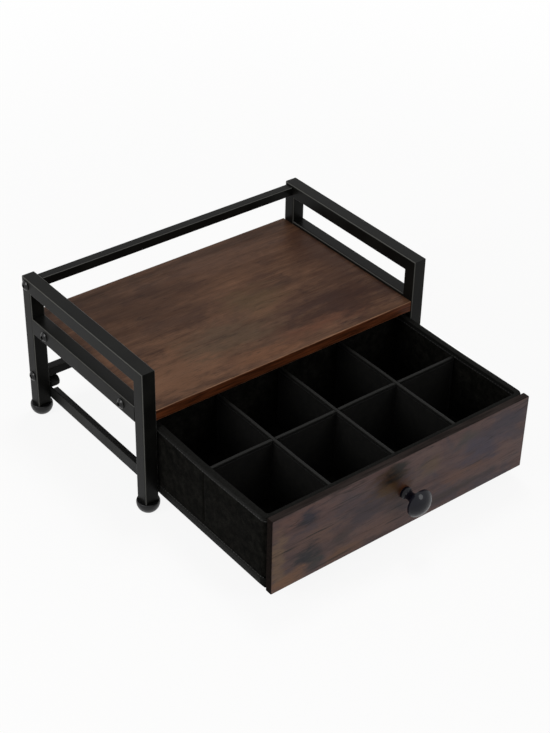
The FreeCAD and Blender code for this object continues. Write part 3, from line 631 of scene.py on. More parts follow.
@dataclass(frozen=True)
class SpunbondCloth(Finish):
    """Nonwoven polypropylene cloth: matted fibres pressed together at a grid of small points."""

    light: str = "#201f1c"
    sheen: float = 0.01
    point_mm: float = 1.5
    fibre_mm: float = 0.9
    matting_mm: float = 7.0
    relief_mm: float = 0.15

    def dress(self, tree: bpy.types.NodeTree, shader: bpy.types.Node) -> None:
        """Draws the bond points, coarser than the real 0.8 mm ones so that they show, and the fibres.

        Args:
            tree: The material's node tree.
            shader: Its Principled BSDF.
        """
        shader.inputs["Sheen Weight"].default_value = self.sheen
        shader.inputs["Sheen Roughness"].default_value = 0.5
        place = add_node(tree, "ShaderNodeTexCoord").outputs["Object"]
        points = add_node(tree, "ShaderNodeTexVoronoi", {"Vector": place, "Scale": per_metre(self.point_mm),
                                                         "Randomness": 0.25})
        fibres = add_node(tree, "ShaderNodeTexNoise", {"Vector": place, "Scale": per_metre(self.fibre_mm),
                                                       "Detail": 4.0, "Roughness": 0.7, "Distortion": 1.2})
        matting = add_node(tree, "ShaderNodeTexNoise", {"Vector": place,
                                                        "Scale": per_metre(self.matting_mm),
                                                        "Detail": 6.0, "Roughness": 0.7})
        blend = add_node(tree, "ShaderNodeMath", {0: fibres.outputs["Fac"], 1: matting.outputs["Fac"]},
                         operation="MULTIPLY")
        tint = add_node(tree, "ShaderNodeValToRGB", {"Fac": blend.outputs["Value"]},
                        stops=[(0.2, linear(self.colour)), (0.46, linear(self.light))])
        dimple = add_node(tree, "ShaderNodeMapRange", {"Value": points.outputs["Distance"], "From Min": 0.1,
                                                       "From Max": 0.4})
        relief = add_node(tree, "ShaderNodeMath", {0: fibres.outputs["Fac"], 1: 0.6,
                                                   2: dimple.outputs["Result"]}, operation="MULTIPLY_ADD")
        bump = add_node(tree, "ShaderNodeBump", {"Height": relief.outputs["Value"], "Strength": 0.6,
                                                 "Distance": mm(self.relief_mm)})
        tree.links.new(tint.outputs["Color"], shader.inputs["Base Color"])
        tree.links.new(bump.outputs["Normal"], shader.inputs["Normal"])


@dataclass(frozen=True)
class TwillTape(Finish):
    """Woven polyester tape or sewing thread: slanting ribs with a soft shine on each."""

    light: str = "#151513"
    sheen: float = 0.02
    rib_mm: float = 1.0
    rib_depth_mm: float = 0.12
    fluff_mm: float = 2.5

    def dress(self, tree: bpy.types.NodeTree, shader: bpy.types.Node) -> None:
        """Draws the ribs, coarser than the real 0.5 mm ones so that they show, and the fluff.

        Args:
            tree: The material's node tree.
            shader: Its Principled BSDF.
        """
        shader.inputs["Sheen Weight"].default_value = self.sheen
        shader.inputs["Sheen Roughness"].default_value = 0.4
        place = add_node(tree, "ShaderNodeTexCoord").outputs["Object"]
        # on the diagonal the bands come out 1.4 times as far apart
        ribs = add_node(tree, "ShaderNodeTexWave",
                        {"Vector": place, "Scale": bands_per_metre(self.rib_mm), "Distortion": 0.6,
                         "Detail": 1.0, "Detail Scale": 2.0},
                        wave_type="BANDS", bands_direction="DIAGONAL", wave_profile="SIN")
        fluff = add_node(tree, "ShaderNodeTexNoise", {"Vector": place, "Scale": per_metre(self.fluff_mm),
                                                      "Detail": 5.0})
        blend = add_node(tree, "ShaderNodeMath", {0: ribs.outputs["Fac"], 1: fluff.outputs["Fac"]},
                         operation="MULTIPLY")
        tint = add_node(tree, "ShaderNodeValToRGB", {"Fac": blend.outputs["Value"]},
                        stops=[(0.1, linear(self.colour)), (0.6, linear(self.light))])
        bump = add_node(tree, "ShaderNodeBump", {"Height": ribs.outputs["Fac"], "Strength": 0.5,
                                                 "Distance": mm(self.rib_depth_mm)})
        tree.links.new(tint.outputs["Color"], shader.inputs["Base Color"])
        tree.links.new(bump.outputs["Normal"], shader.inputs["Normal"])


@dataclass(frozen=True)
class BakedEnamel(Finish):
    """Thick glossy enamel baked on a turned knob: a deep black with a barely rippled skin."""

    duller: float = 0.14
    ripple_mm: float = 5.0
    ripple_depth_mm: float = 0.08
    finger_mm: float = 3.0

    def dress(self, tree: bpy.types.NodeTree, shader: bpy.types.Node) -> None:
        """Draws the ripple of the flowed enamel and a few dull finger marks.

        Args:
            tree: The material's node tree.
            shader: Its Principled BSDF.
        """
        place = add_node(tree, "ShaderNodeTexCoord").outputs["Object"]
        ripple = add_node(tree, "ShaderNodeTexNoise", {"Vector": place, "Scale": per_metre(self.ripple_mm),
                                                       "Detail": 1.0})
        fingers = add_node(tree, "ShaderNodeTexNoise", {"Vector": place,
                                                        "Scale": per_metre(self.finger_mm),
                                                        "Detail": 6.0, "Roughness": 0.7})
        gloss = add_node(tree, "ShaderNodeMapRange", {"Value": fingers.outputs["Fac"], "From Min": 0.45,
                                                      "From Max": 0.75, "To Min": self.roughness,
                                                      "To Max": self.roughness + self.duller})
        bump = add_node(tree, "ShaderNodeBump", {"Height": ripple.outputs["Fac"], "Strength": 0.2,
                                                 "Distance": mm(self.ripple_depth_mm)})
        tree.links.new(gloss.outputs["Result"], shader.inputs["Roughness"])
        tree.links.new(bump.outputs["Normal"], shader.inputs["Normal"])


# ---------------------------------------------------------------------------------------------
# Mesh helpers
# ---------------------------------------------------------------------------------------------

SAME_PLACE = mm(0.01)  # places that are nearer to each other count as one
SHARP_ANGLE = math.radians(60.0)  # an edge that turns further counts as sharp
UPRIGHT_SHARE = 0.99  # an edge counts as upright where its rise is at least this share of its length
NARROW_FACE = 0.8  # a board's face counts as narrow where its normal is turned further than this cosine


def add_piece(mesh: bmesh.types.BMesh, name: str, material: bpy.types.Material, body: Body,
              replaces: Sequence[str] = ()) -> None:
    """Turns a bmesh into a named piece that rides on a body.

    Args:
        mesh: The finished shape, in the frame's own place. It is freed.
        name: The piece's name.
        material: Its material.
        body: The body that it rides on.
        replaces: Nodes of the frame that the piece stands for.
    """
    bmesh.ops.recalc_face_normals(mesh, faces=mesh.faces[:])
    for face in mesh.faces:
        face.smooth = True
    data = bpy.data.meshes.new(name)
    mesh.to_mesh(data)
    mesh.free()
    data.materials.append(material)
    piece = bpy.data.objects.new(name, data)
    bpy.context.scene.collection.objects.link(piece)
    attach(piece, body.value)
    if replaces:
        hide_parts(*replaces)
    log.info("%s: %d faces on %s", name, len(data.polygons), body.value)


def dress_nodes(nodes: Iterable[str], material: bpy.types.Material) -> None:
    """Gives nodes of the frame a material.

    Args:
        nodes: Their names.
        material: The material for all of them.
    """
    for name in nodes:
        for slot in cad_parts[name].material_slots:
            slot.material = material
        log.info("%s: dressed in %s", name, material.name)


def dress_narrow_faces(node: str, wide_face: Axis, material: bpy.types.Material) -> None:
    """Gives the narrow faces of a board a material of their own.

    Args:
        node: The board's node, already dressed.
        wide_face: The way that its wide faces look.
        material: The material of the narrow ones.
    """
    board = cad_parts[node].data
    board.materials.append(material)
    for face in board.polygons:
        if abs(face.normal.dot(Vector(wide_face.value))) < NARROW_FACE:
            face.material_index = len(board.materials) - 1
    log.info("%s: narrow faces in %s", node, material.name)


def round_edges(mesh: bmesh.types.BMesh, edges: Sequence[bmesh.types.BMEdge], width: float,
                segments: int) -> None:
    """Rounds edges over.

    Args:
        mesh: The mesh.
        edges: The edges to round.
        width: How far the rounding reaches from the edge.
        segments: Strips across the rounding.
    """
    bmesh.ops.bevel(mesh, geom=list(edges), offset=width, offset_type="OFFSET", segments=segments,
                    profile=0.5, affect="EDGES", clamp_overlap=True, material=-1)


def cut_across(mesh: bmesh.types.BMesh, axis: Axis, places: Iterable[float]) -> None:
    """Adds edge loops where planes across an axis pass through the mesh.

    Args:
        mesh: The mesh.
        axis: The planes' normal.
        places: Where the planes stand along the axis.
    """
    normal = Vector(axis.value)
    for place in places:
        geometry = mesh.verts[:] + mesh.edges[:] + mesh.faces[:]
        bmesh.ops.bisect_plane(mesh, geom=geometry, dist=1e-6, plane_co=normal * place, plane_no=normal)


def spaced(low: float, high: float, step: float) -> list[float]:
    """Returns even places between low and high, about step apart, without the two ends."""
    count = max(int(round((high - low) / step)), 1)
    return [low + (high - low) * index / count for index in range(1, count)]


def extrude_by(mesh: bmesh.types.BMesh, faces: Sequence[bmesh.types.BMFace], step: Vector) -> None:
    """Extrudes faces by a step.

    Args:
        mesh: The mesh.
        faces: The faces, which stay behind as the other side of what is made.
        step: How far and which way the new faces move.
    """
    raised = bmesh.ops.extrude_face_region(mesh, geom=list(faces))["geom"]
    bmesh.ops.translate(mesh, vec=step,
                        verts=[item for item in raised if isinstance(item, bmesh.types.BMVert)])


def slab(low: Vector, high: Vector) -> bmesh.types.BMesh:
    """Builds a block.

    Args:
        low: Its lowest corner.
        high: Its highest corner.

    Returns:
        The block as a closed mesh.
    """
    mesh = bmesh.new()
    size = high - low
    place = Matrix.Translation((low + high) / 2) @ Matrix.Diagonal((*size, 1.0))
    bmesh.ops.create_cube(mesh, size=1.0, matrix=place)
    return mesh


def is_upright(edge: bmesh.types.BMEdge) -> bool:
    """Says whether an edge runs along Z."""
    return abs(edge.verts[0].co.z - edge.verts[1].co.z) > UPRIGHT_SHARE * edge.calc_length()


def lies_at(edge: bmesh.types.BMEdge, height: float) -> bool:
    """Says whether both ends of an edge are at a height."""
    return all(abs(vert.co.z - height) < SAME_PLACE for vert in edge.verts)


def span_of(nodes: Iterable[str]) -> tuple[Vector, Vector]:
    """Finds the box round several nodes of the frame.

    Args:
        nodes: Their names.

    Returns:
        The lowest and highest corners.
    """
    boxes = [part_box(name) for name in nodes]
    low = Vector([min(box[0][axis] for box in boxes) for axis in range(3)])
    high = Vector([max(box[1][axis] for box in boxes) for axis in range(3)])
    return low, high


def box_ring(low: Vector, high: Vector, thickness: float, corner: float,
             inner_corner: float) -> bmesh.types.BMesh:
    """Builds a level ring of even thickness with rounded upright corners.

    Args:
        low: Lowest corner of the box round it.
        high: Highest corner of that box.
        thickness: From the outside to the inside of the ring.
        corner: Radius of the outside corners.
        inner_corner: Radius of the inside corners.

    Returns:
        The ring as a closed mesh.
    """
    mesh = bmesh.new()
    middle = (low + high) / 2
    size = high - low
    place = Matrix.Translation((middle.x, middle.y, low.z)) @ Matrix.Diagonal((size.x, size.y, 1.0, 1.0))
    bmesh.ops.create_grid(mesh, x_segments=1, y_segments=1, size=0.5, matrix=place)
    hole = mesh.faces[:]
    bmesh.ops.inset_region(mesh, faces=hole, thickness=thickness, use_even_offset=True, use_boundary=True)
    bmesh.ops.delete(mesh, geom=hole, context="FACES")
    extrude_by(mesh, mesh.faces[:], Vector((0.0, 0.0, size.z)))
    bmesh.ops.recalc_face_normals(mesh, faces=mesh.faces[:])
    for radius, reach in ((corner, size / 2), (inner_corner, size / 2 - Vector((thickness,) * 3))):
        uprights = [edge for edge in mesh.edges if is_upright(edge)
                    and abs(abs(edge.verts[0].co.x - middle.x) - reach.x) < SAME_PLACE
                    and abs(abs(edge.verts[0].co.y - middle.y) - reach.y) < SAME_PLACE]
        round_edges(mesh, uprights, radius, segments=6)
    return mesh


def round_level_edges(mesh: bmesh.types.BMesh, height: float, width: float, segments: int) -> None:
    """Rounds the sharp edges of a mesh that lie at a height.

    Args:
        mesh: The mesh.
        height: The edges' height.
        width: How far the rounding reaches.
        segments: Strips across the rounding.
    """
    mesh.normal_update()
    sharp = [edge for edge in mesh.edges if lies_at(edge, height) and len(edge.link_faces) == 2
             and edge.calc_face_angle() > SHARP_ANGLE]
    round_edges(mesh, sharp, width, segments)


def hollow_from_below(mesh: bmesh.types.BMesh, height: float, wall: float, depth: float) -> None:
    """Turns a bar or ring into a channel that is open underneath.

    Args:
        mesh: The closed mesh.
        height: Height of its underside.
        wall: Thickness left on each side.
        depth: How far the channel goes up.
    """
    under = [face for face in mesh.faces if all(lies_at(edge, height) for edge in face.edges)]
    bmesh.ops.inset_region(mesh, faces=under, thickness=wall, use_even_offset=True)
    extrude_by(mesh, under, Vector((0.0, 0.0, depth)))
    bmesh.ops.delete(mesh, geom=[face for face in under if face.is_valid], context="FACES")


def track_round(low: Vector, high: Vector, corner: float, height: float,
                pitch: float) -> list[tuple[Vector, Vector]]:
    """Spaces points evenly round a rounded rectangle.

    Args:
        low: Lowest corner of the rectangle.
        high: Highest corner of it.
        corner: Radius of its corners.
        height: Height of the points.
        pitch: Distance between them, about.

    Returns:
        Each point with the way along the track there.
    """
    straights = (high.x - low.x - 2 * corner, high.y - low.y - 2 * corner)
    quarter = math.pi / 2 * corner
    total = 2 * sum(straights) + 4 * quarter
    count = int(total / pitch)
    points = []
    start = Vector((low.x + corner, low.y, height))
    travelled = 0.0
    index = 0
    for side in range(4):
        way = Vector((math.cos(side * math.pi / 2), math.sin(side * math.pi / 2), 0.0))
        inwards = Vector((-way.y, way.x, 0.0))
        length = straights[side % 2]
        centre = start + way * length + inwards * corner
        while index < count and total * index / count < travelled + length + quarter:
            reach = total * index / count - travelled
            if reach < length:
                points.append((start + way * reach, way))
            else:
                angle = (reach - length) / corner
                outwards = way * math.sin(angle) - inwards * math.cos(angle)
                turned = way * math.cos(angle) + inwards * math.sin(angle)
                points.append((centre + outwards * corner, turned))
            index += 1
        travelled += length + quarter
        start = centre + way * corner
    return points


def sew(row: Iterable[tuple[Vector, Vector]], length: float, thread: float) -> bmesh.types.BMesh:
    """Sews a row of stitches.

    Args:
        row: Each stitch's middle and the way that the seam runs there.
        length: A stitch's length.
        thread: The thread's thickness.

    Returns:
        All the stitches as one mesh.
    """
    first = bmesh.new()
    bmesh.ops.create_uvsphere(first, u_segments=6, v_segments=4, radius=0.5,
                              matrix=Matrix.Diagonal((length, thread, thread, 1.0)))
    stitch = bpy.data.meshes.new("stitch")
    first.to_mesh(stitch)
    first.free()
    sewn = bmesh.new()
    for place, way in row:
        copied = stitch.copy()
        turn = Vector((1.0, 0.0, 0.0)).rotation_difference(way).to_matrix().to_4x4()
        copied.transform(Matrix.Translation(place) @ turn)
        sewn.from_mesh(copied)
        bpy.data.meshes.remove(copied)
    bpy.data.meshes.remove(stitch)
    return sewn


# ---------------------------------------------------------------------------------------------
# Steel stand and tabletop
# ---------------------------------------------------------------------------------------------

@dataclass
class Stand:
    """The steel stand with its bolts, plastic feet, drawer runners and rubber stops."""

    tube_coat: PowderCoat = PowderCoat("satin_black_powder_coat", "#0d0d0c", 0.36, specular=0.06)
    runner_coat: PowderCoat = PowderCoat("thin_black_powder_coat", "#101010", 0.5, specular=0.12)
    bolt_oxide: TurnedMetal = TurnedMetal("oiled_black_oxide_steel", "#0a0a0b", 0.28, specular=0.25,
                                          coat=0.1)
    foot_moulding: MouldedPart = MouldedPart("moulded_black_polyethylene", "#080809", 0.32, specular=0.3,
                                             worn="#101011")
    buffer_rubber: MouldedPart = MouldedPart("moulded_nitrile_rubber", "#0c0c0c", 0.55, specular=0.2,
                                             grain_mm=0.9, worn="#151515")
    insert_zinc: TurnedMetal = TurnedMetal("zinc_plated_steel", "#9a9a96", 0.32, metallic=1.0,
                                           shade="#77777a")

    def build(self) -> None:
        """Dresses the stand's nodes, whose shapes are right as they are."""
        sides = ("left", "right")
        ends = ("front", "rear")
        posts = [f"{side}_{end}_post" for side in sides for end in ends]
        rails = [f"{side}_{level}_rail" for side in sides for level in ("top", "mid")]
        dress_nodes(posts + rails + ["back_top_rail", "back_lower_rail"]
                    + [f"{side}_stop_stud" for side in sides], self.tube_coat.material())
        dress_nodes([f"{side}_runner" for side in sides], self.runner_coat.material())
        dress_nodes(["rail_bolts", "tabletop_bolts"], self.bolt_oxide.material())
        dress_nodes([f"{end}_{side}_foot" for side in sides for end in ends], self.foot_moulding.material())
        dress_nodes([f"{side}_stop_buffer" for side in sides], self.buffer_rubber.material())
        dress_nodes(["rail_end_plugs", "tabletop_inserts"], self.insert_zinc.material())


@dataclass
class Tabletop:
    """The stained board between the side frames."""

    wood: StainedBoard = StainedBoard(
        "stained_rustic_board", "#52392a", 0.46, specular=0.08, board="tabletop", dark="#3a261b",
        light="#6c4d39", cloud="#32201a", cloud_share=0.45, split_share=0.35,
        # the arris colour is a painted highlight
        grain_origin=(0.31, 0.17, 0.0), edge_colour="#4b2613", arris_highlight="#9a7358",
        patches=(
            Patch(0.14, 0.16, (130.0, 60.0), "#785640", 0.7),
            Patch(0.40, 0.26, (80.0, 40.0), "#574636", 0.65),
            Patch(0.44, 0.06, (60.0, 16.0), "#76513a", 0.6),
            Patch(0.30, 0.72, (90.0, 40.0), "#452f23", 0.5),
            Patch(0.60, 0.46, (50.0, 34.0), "#54442f", 0.5),
            Patch(0.82, 0.20, (95.0, 46.0), "#321d16", 0.85),
            Patch(0.68, 0.10, (60.0, 14.0), "#6a4431", 0.6),
            Patch(0.62, 0.86, (80.0, 36.0), "#5c4132", 0.5),
            Patch(0.94, 0.60, (40.0, 90.0), "#3c261d", 0.6),
        ))

    def build(self) -> None:
        """Dresses the board in stained rustic wood with dark edges."""
        dress_nodes([self.wood.board], self.wood.material())


# ---------------------------------------------------------------------------------------------
# Drawer front
# ---------------------------------------------------------------------------------------------

@dataclass
class DrawerFront:
    """The wooden drawer front with its enamelled knob and its screws."""

    wood: StainedBoard = StainedBoard(
        "stained_drawer_front", "#4e3a37", 0.4, specular=0.14, board="drawer_front_panel",
        dark="#392a28", light="#5b4741", cloud="#2f2d36", cloud_share=0.6, split_share=0.7,
        # the arris colour is a painted highlight
        grain_origin=(0.05, 0.4, 0.23), wide_face=Axis.Y, edge_colour="#080707", arris_highlight="#3f3936",
        patches=(
            Patch(0.02, 0.45, (14.0, 44.0), "#6a543f", 0.7),
            Patch(0.05, 0.10, (34.0, 18.0), "#6f4f37", 0.8),
            Patch(0.10, 0.88, (40.0, 14.0), "#5d4138", 0.75),
            Patch(0.18, 0.52, (40.0, 16.0), "#584035", 0.7),
            Patch(0.27, 0.11, (36.0, 12.0), "#60442f", 0.7),
            Patch(0.35, 0.50, (52.0, 22.0), "#30282d", 0.85),
            Patch(0.40, 0.20, (46.0, 14.0), "#5c443a", 0.6),
            Patch(0.25, 0.31, (24.0, 13.0), "#2c2220", 0.75),
            Patch(0.13, 0.31, (23.0, 18.0), "#151419", 0.97),
            Patch(0.16, 0.18, (15.0, 12.0), "#272726", 0.85),
            Patch(0.13, 0.82, (20.0, 13.0), "#1d1b26", 0.95),
            Patch(0.30, 0.80, (34.0, 12.0), "#3c3337", 0.7),
            Patch(0.44, 0.74, (32.0, 27.0), "#35220f", 0.97),
            Patch(0.43, 0.66, (17.0, 12.0), "#463320", 0.75),
            Patch(0.46, 0.86, (19.0, 12.0), "#120b05", 0.97),
            Patch(0.45, 0.76, (20.0, 4.0), "#0d0905", 0.95),
            Patch(0.50, 0.58, (12.0, 10.0), "#46260f", 0.9),
            Patch(0.60, 0.70, (22.0, 17.0), "#554432", 0.65),
            Patch(0.72, 0.36, (52.0, 12.0), "#5a3f33", 0.7),
            Patch(0.74, 0.82, (24.0, 12.0), "#38332e", 0.75),
            Patch(0.82, 0.62, (46.0, 26.0), "#38323e", 0.85),
            Patch(0.93, 0.30, (40.0, 20.0), "#5a443e", 0.6),
            Patch(0.93, 0.80, (44.0, 20.0), "#332d35", 0.85),
            Patch(0.70, 0.16, (70.0, 7.0), "#2a201d", 0.75),
            Patch(0.06, 0.51, (26.0, 1.4), "#0e0908", 0.95),
            Patch(0.16, 0.56, (34.0, 1.4), "#0e0908", 0.9),
            Patch(0.46, 0.17, (26.0, 1.2), "#120b08", 0.85),
            Patch(0.47, 0.34, (26.0, 1.2), "#120b08", 0.7),
        ))
    edging: EdgeFoil = EdgeFoil("black_brown_edge_foil", "#2b2523", 0.8, specular=0.02)
    knob_enamel: BakedEnamel = BakedEnamel("baked_black_enamel", "#0a0a14", 0.36, specular=0.08, coat=0.3,
                                           coat_roughness=0.06)
    screw_zinc: TurnedMetal = TurnedMetal("zinc_plated_screw", "#a3a39e", 0.3, metallic=1.0,
                                          shade="#7d7d80")

    def build(self) -> None:
        """Dresses the drawer front, the knob and the screws."""
        dress_nodes([self.wood.board], self.wood.material())
        dress_narrow_faces(self.wood.board, self.wood.wide_face, self.edging.material())
        dress_nodes(["drawer_knob"], self.knob_enamel.material())
        dress_nodes(["knob_screw", "panel_screws"], self.screw_zinc.material())


# ---------------------------------------------------------------------------------------------
# Fabric drawer box
# ---------------------------------------------------------------------------------------------

@dataclass
class FabricBox:
    """The drawer's box: cloth over board, a bound rim, a taped foot and a folded seam in each side."""

    walls: tuple[str, ...] = ("drawer_left_wall", "drawer_right_wall", "drawer_front_wall",
                              "drawer_back_wall")
    wall: float = mm(4.0)
    corner: float = mm(7.0)
    inner_corner: float = mm(3.5)
    rim_round: float = mm(1.2)
    slack_from: float = mm(24.0)
    slack_to: float = mm(52.0)
    bow: float = mm(0.5)
    puff: float = mm(0.4)
    wrinkle: float = mm(0.3)
    wrinkles_per_metre: float = 22.0
    sag: float = mm(1.2)
    front_sag_share: float = 0.4
    # what is this near to a wall, such as its tape or its stitches, settles with it
    wall_reach: float = mm(2.0)
    seam_width: float = mm(1.3)
    seam_depth: float = mm(0.9)
    seam_end_share: float = 0.04
    # a skin looks sideways where its normal's X is longer than this
    sideways: float = 0.7
    cell: float = mm(4.0)
    stitch_pitch: float = mm(3.6)
    stitch_length: float = mm(2.7)
    thread: float = mm(0.45)
    stitch_inset: float = mm(1.3)
    hem_round_share: float = 0.4
    floor_corner: float = mm(2.5)
    floor_round: float = mm(0.3)
    board_round: float = mm(1.2)
    board_dimple: float = mm(0.15)
    dimples_per_metre: float = 30.0
    cloth: SpunbondCloth = SpunbondCloth("black_spunbond_cloth", "#040403", 0.85, specular=0.015)
    tape: TwillTape = TwillTape("black_twill_tape", "#0b0b0a", 0.6, specular=0.02, light="#1e1e1c")
    sewing: TwillTape = TwillTape("black_sewing_thread", "#20201e", 0.45, specular=0.4, rib_mm=0.5,
                                  light="#484844")
    low: Vector = field(init=False)
    high: Vector = field(init=False)
    middle: Vector = field(init=False)
    hem_top: float = field(init=False)
    tape_bottom: float = field(init=False)

    def __post_init__(self) -> None:
        """Reads the box's place from the frame's four walls and its two tapes."""
        self.low, self.high = span_of(self.walls)
        self.middle = (self.low + self.high) / 2
        self.hem_top = span_of(["base_hem"])[1].z
        self.tape_bottom = span_of(["rim_binding"])[0].z

    def settle(self, point: Vector) -> Vector:
        """Moves a point of the walls as slack cloth would: the sides bow out and the rim sags.

        Args:
            point: A point of a flat wall, its tape or its stitches.

        Returns:
            Where it comes to lie.
        """
        moved = point.copy()
        # the runners and stops stand close to the lowest part of the walls, which stays flat
        free = smooth_step(self.low.z + self.slack_from, self.low.z + self.slack_to, point.z)
        along = math.sin(math.pi * share_between(self.low.y, self.high.y, point.y))
        across = math.sin(math.pi * share_between(self.low.x, self.high.x, point.x))
        ripple = self.wrinkle * noise.noise(point * self.wrinkles_per_metre)
        near = self.wall + self.wall_reach
        if abs(point.x - self.middle.x) > (self.high.x - self.low.x) / 2 - near:
            moved.x += math.copysign((self.bow + ripple) * free * along, point.x - self.middle.x)
            moved.z -= self.sag * free * along ** 2
        elif point.y > self.high.y - near:
            moved.y += (self.bow + ripple) * free * across
            moved.z -= self.sag * free * across ** 2
        elif point.y < self.low.y + near:
            moved.z -= self.front_sag_share * self.sag * free * across ** 2
        return moved

    def build(self) -> None:
        """Builds the walls, the tapes, the stitches, the floor and the board on it."""
        cloth = self.cloth.material()
        tape = self.tape.material()
        self.build_walls(cloth)
        self.build_rim_tape(tape)
        self.build_hem(tape)
        self.build_stitches()
        self.build_floor(cloth)

    def build_walls(self, cloth: bpy.types.Material) -> None:
        """Builds the four walls as one cloth ring over boards.

        Args:
            cloth: The cloth's material.
        """
        mesh = box_ring(self.low, self.high, self.wall, self.corner, self.inner_corner)
        round_level_edges(mesh, self.high.z, self.rim_round, segments=3)
        seam_cuts = [self.middle.y + share * self.seam_width for share in (-1.0, -0.5, 0.0, 0.5, 1.0)]
        cut_across(mesh, Axis.Z, spaced(self.low.z, self.high.z, self.cell))
        cut_across(mesh, Axis.X, spaced(self.low.x, self.high.x, self.cell))
        cut_across(mesh, Axis.Y, spaced(self.low.y, self.high.y, self.cell) + seam_cuts)
        mesh.normal_update()
        moves = [(vert, self.swollen(vert.co, vert.normal)) for vert in mesh.verts]
        for vert, place in moves:
            vert.co = place
        add_piece(mesh, "drawer_walls_cloth", cloth, Body.DRAWER, self.walls)

    def swollen(self, point: Vector, normal: Vector) -> Vector:
        """Swells a wall between its tapes, sinks the side seams and lets the cloth settle.

        Args:
            point: A point of the flat wall's skin.
            normal: The skin's outward direction there.

        Returns:
            Where it comes to lie.
        """
        height = share_between(self.hem_top, self.tape_bottom, point.z)
        off_middle = point - self.middle
        flat = (self.high - self.low) / 2 - Vector((self.corner,) * 3)
        is_side = abs(normal.x) > self.sideways
        # a side has two pillows, one each side of its seam, and the front and the back have one each
        if is_side:
            length = min(abs(off_middle.y) / flat.y, 1.0)
        else:
            length = 0.5 + min(abs(off_middle.x) / flat.x, 1.0) / 2
        pillow = (math.sin(math.pi * height) * math.sin(math.pi * length)) ** 0.5 if 0 < length < 1 else 0.0
        amount = self.puff * pillow
        if is_side and off_middle.x * normal.x > 0:
            # only the outer skin is folded into the seam, which fades out under the tapes
            ends = (smooth_step(0.0, self.seam_end_share, height)
                    * smooth_step(1.0, 1.0 - self.seam_end_share, height))
            amount -= self.seam_depth * max(1.0 - abs(off_middle.y) / self.seam_width, 0.0) * ends
        level = Vector((normal.x, normal.y, 0.0))
        return self.settle(point) + level * amount

    def build_rim_tape(self, tape: bpy.types.Material) -> None:
        """Builds the tape folded over the rim.

        Args:
            tape: The tape's material.
        """
        low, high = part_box("rim_binding")
        thickness = self.low.x - low.x
        mesh = box_ring(low, high, self.wall + 2 * thickness, self.corner + thickness,
                        self.inner_corner - thickness)
        hollow_from_below(mesh, low.z, thickness, self.high.z - low.z)
        round_level_edges(mesh, high.z, self.rim_round, segments=3)
        cut_across(mesh, Axis.X, spaced(low.x, high.x, 2 * self.cell))
        cut_across(mesh, Axis.Y, spaced(low.y, high.y, 2 * self.cell))
        for vert in mesh.verts:
            vert.co = self.settle(vert.co)
        add_piece(mesh, "rim_tape", tape, Body.DRAWER, ["rim_binding"])

    def build_hem(self, tape: bpy.types.Material) -> None:
        """Builds the tape sewn round the foot of the walls.

        Args:
            tape: The tape's material.
        """
        low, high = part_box("base_hem")
        thickness = self.low.x - low.x
        mesh = box_ring(low, high, thickness, self.corner + thickness, self.corner)
        round_level_edges(mesh, high.z, thickness * self.hem_round_share, segments=2)
        add_piece(mesh, "foot_tape", tape, Body.DRAWER, ["base_hem"])

    def build_stitches(self) -> None:
        """Sews the tapes on: two rows through the rim tape and one through the foot tape."""
        sewing = self.sewing.material()
        rim_low, rim_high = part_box("rim_binding")
        hem_low, hem_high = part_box("base_hem")
        rim_tape = self.low.x - rim_low.x
        hem_tape = self.low.x - hem_low.x
        inset = Vector((self.wall + 2 * rim_tape,) * 2 + (0.0,))
        rim_height = rim_low.z + self.stitch_inset
        rows = {
            "rim_stitches": (track_round(rim_low, rim_high, self.corner + rim_tape, rim_height,
                                         self.stitch_pitch)
                             + track_round(rim_low + inset, rim_high - inset, self.inner_corner - rim_tape,
                                           rim_height, self.stitch_pitch)),
            "foot_stitches": track_round(hem_low, hem_high, self.corner + hem_tape,
                                         hem_high.z - self.stitch_inset, self.stitch_pitch),
        }
        for name, row in rows.items():
            settled = [(self.settle(place), way) for place, way in row]
            add_piece(sew(settled, self.stitch_length, self.thread), name, sewing, Body.DRAWER)

    def build_floor(self, cloth: bpy.types.Material) -> None:
        """Builds the cloth floor and the covered board laid on it.

        Args:
            cloth: The cloth's material.
        """
        floor = self.rounded_slab("drawer_floor", self.floor_round)
        add_piece(floor, "drawer_floor_cloth", cloth, Body.DRAWER, ["drawer_floor"])
        board = self.rounded_slab("drawer_base_board", self.board_round)
        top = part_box("drawer_base_board")[1].z
        for vert in board.verts:
            if vert.co.z > top - SAME_PLACE:
                vert.co.z -= self.board_dimple * (1.0 + noise.noise(vert.co * self.dimples_per_metre))
        add_piece(board, "covered_base_board", cloth, Body.DRAWER, ["drawer_base_board"])

    def rounded_slab(self, node: str, rounding: float) -> bmesh.types.BMesh:
        """Builds a level board in a node's place, with rounded corners and a rounded upper edge.

        Args:
            node: The node.
            rounding: How far the upper edge is rounded.

        Returns:
            The board as a closed mesh.
        """
        low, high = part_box(node)
        mesh = slab(low, high)
        uprights = [edge for edge in mesh.edges if is_upright(edge)]
        round_edges(mesh, uprights, self.floor_corner, segments=4)
        round_level_edges(mesh, high.z, rounding, segments=3)
        cut_across(mesh, Axis.X, spaced(low.x, high.x, 2 * self.cell))
        cut_across(mesh, Axis.Y, spaced(low.y, high.y, 2 * self.cell))
        return mesh


# ---------------------------------------------------------------------------------------------
# Dividers
# ---------------------------------------------------------------------------------------------

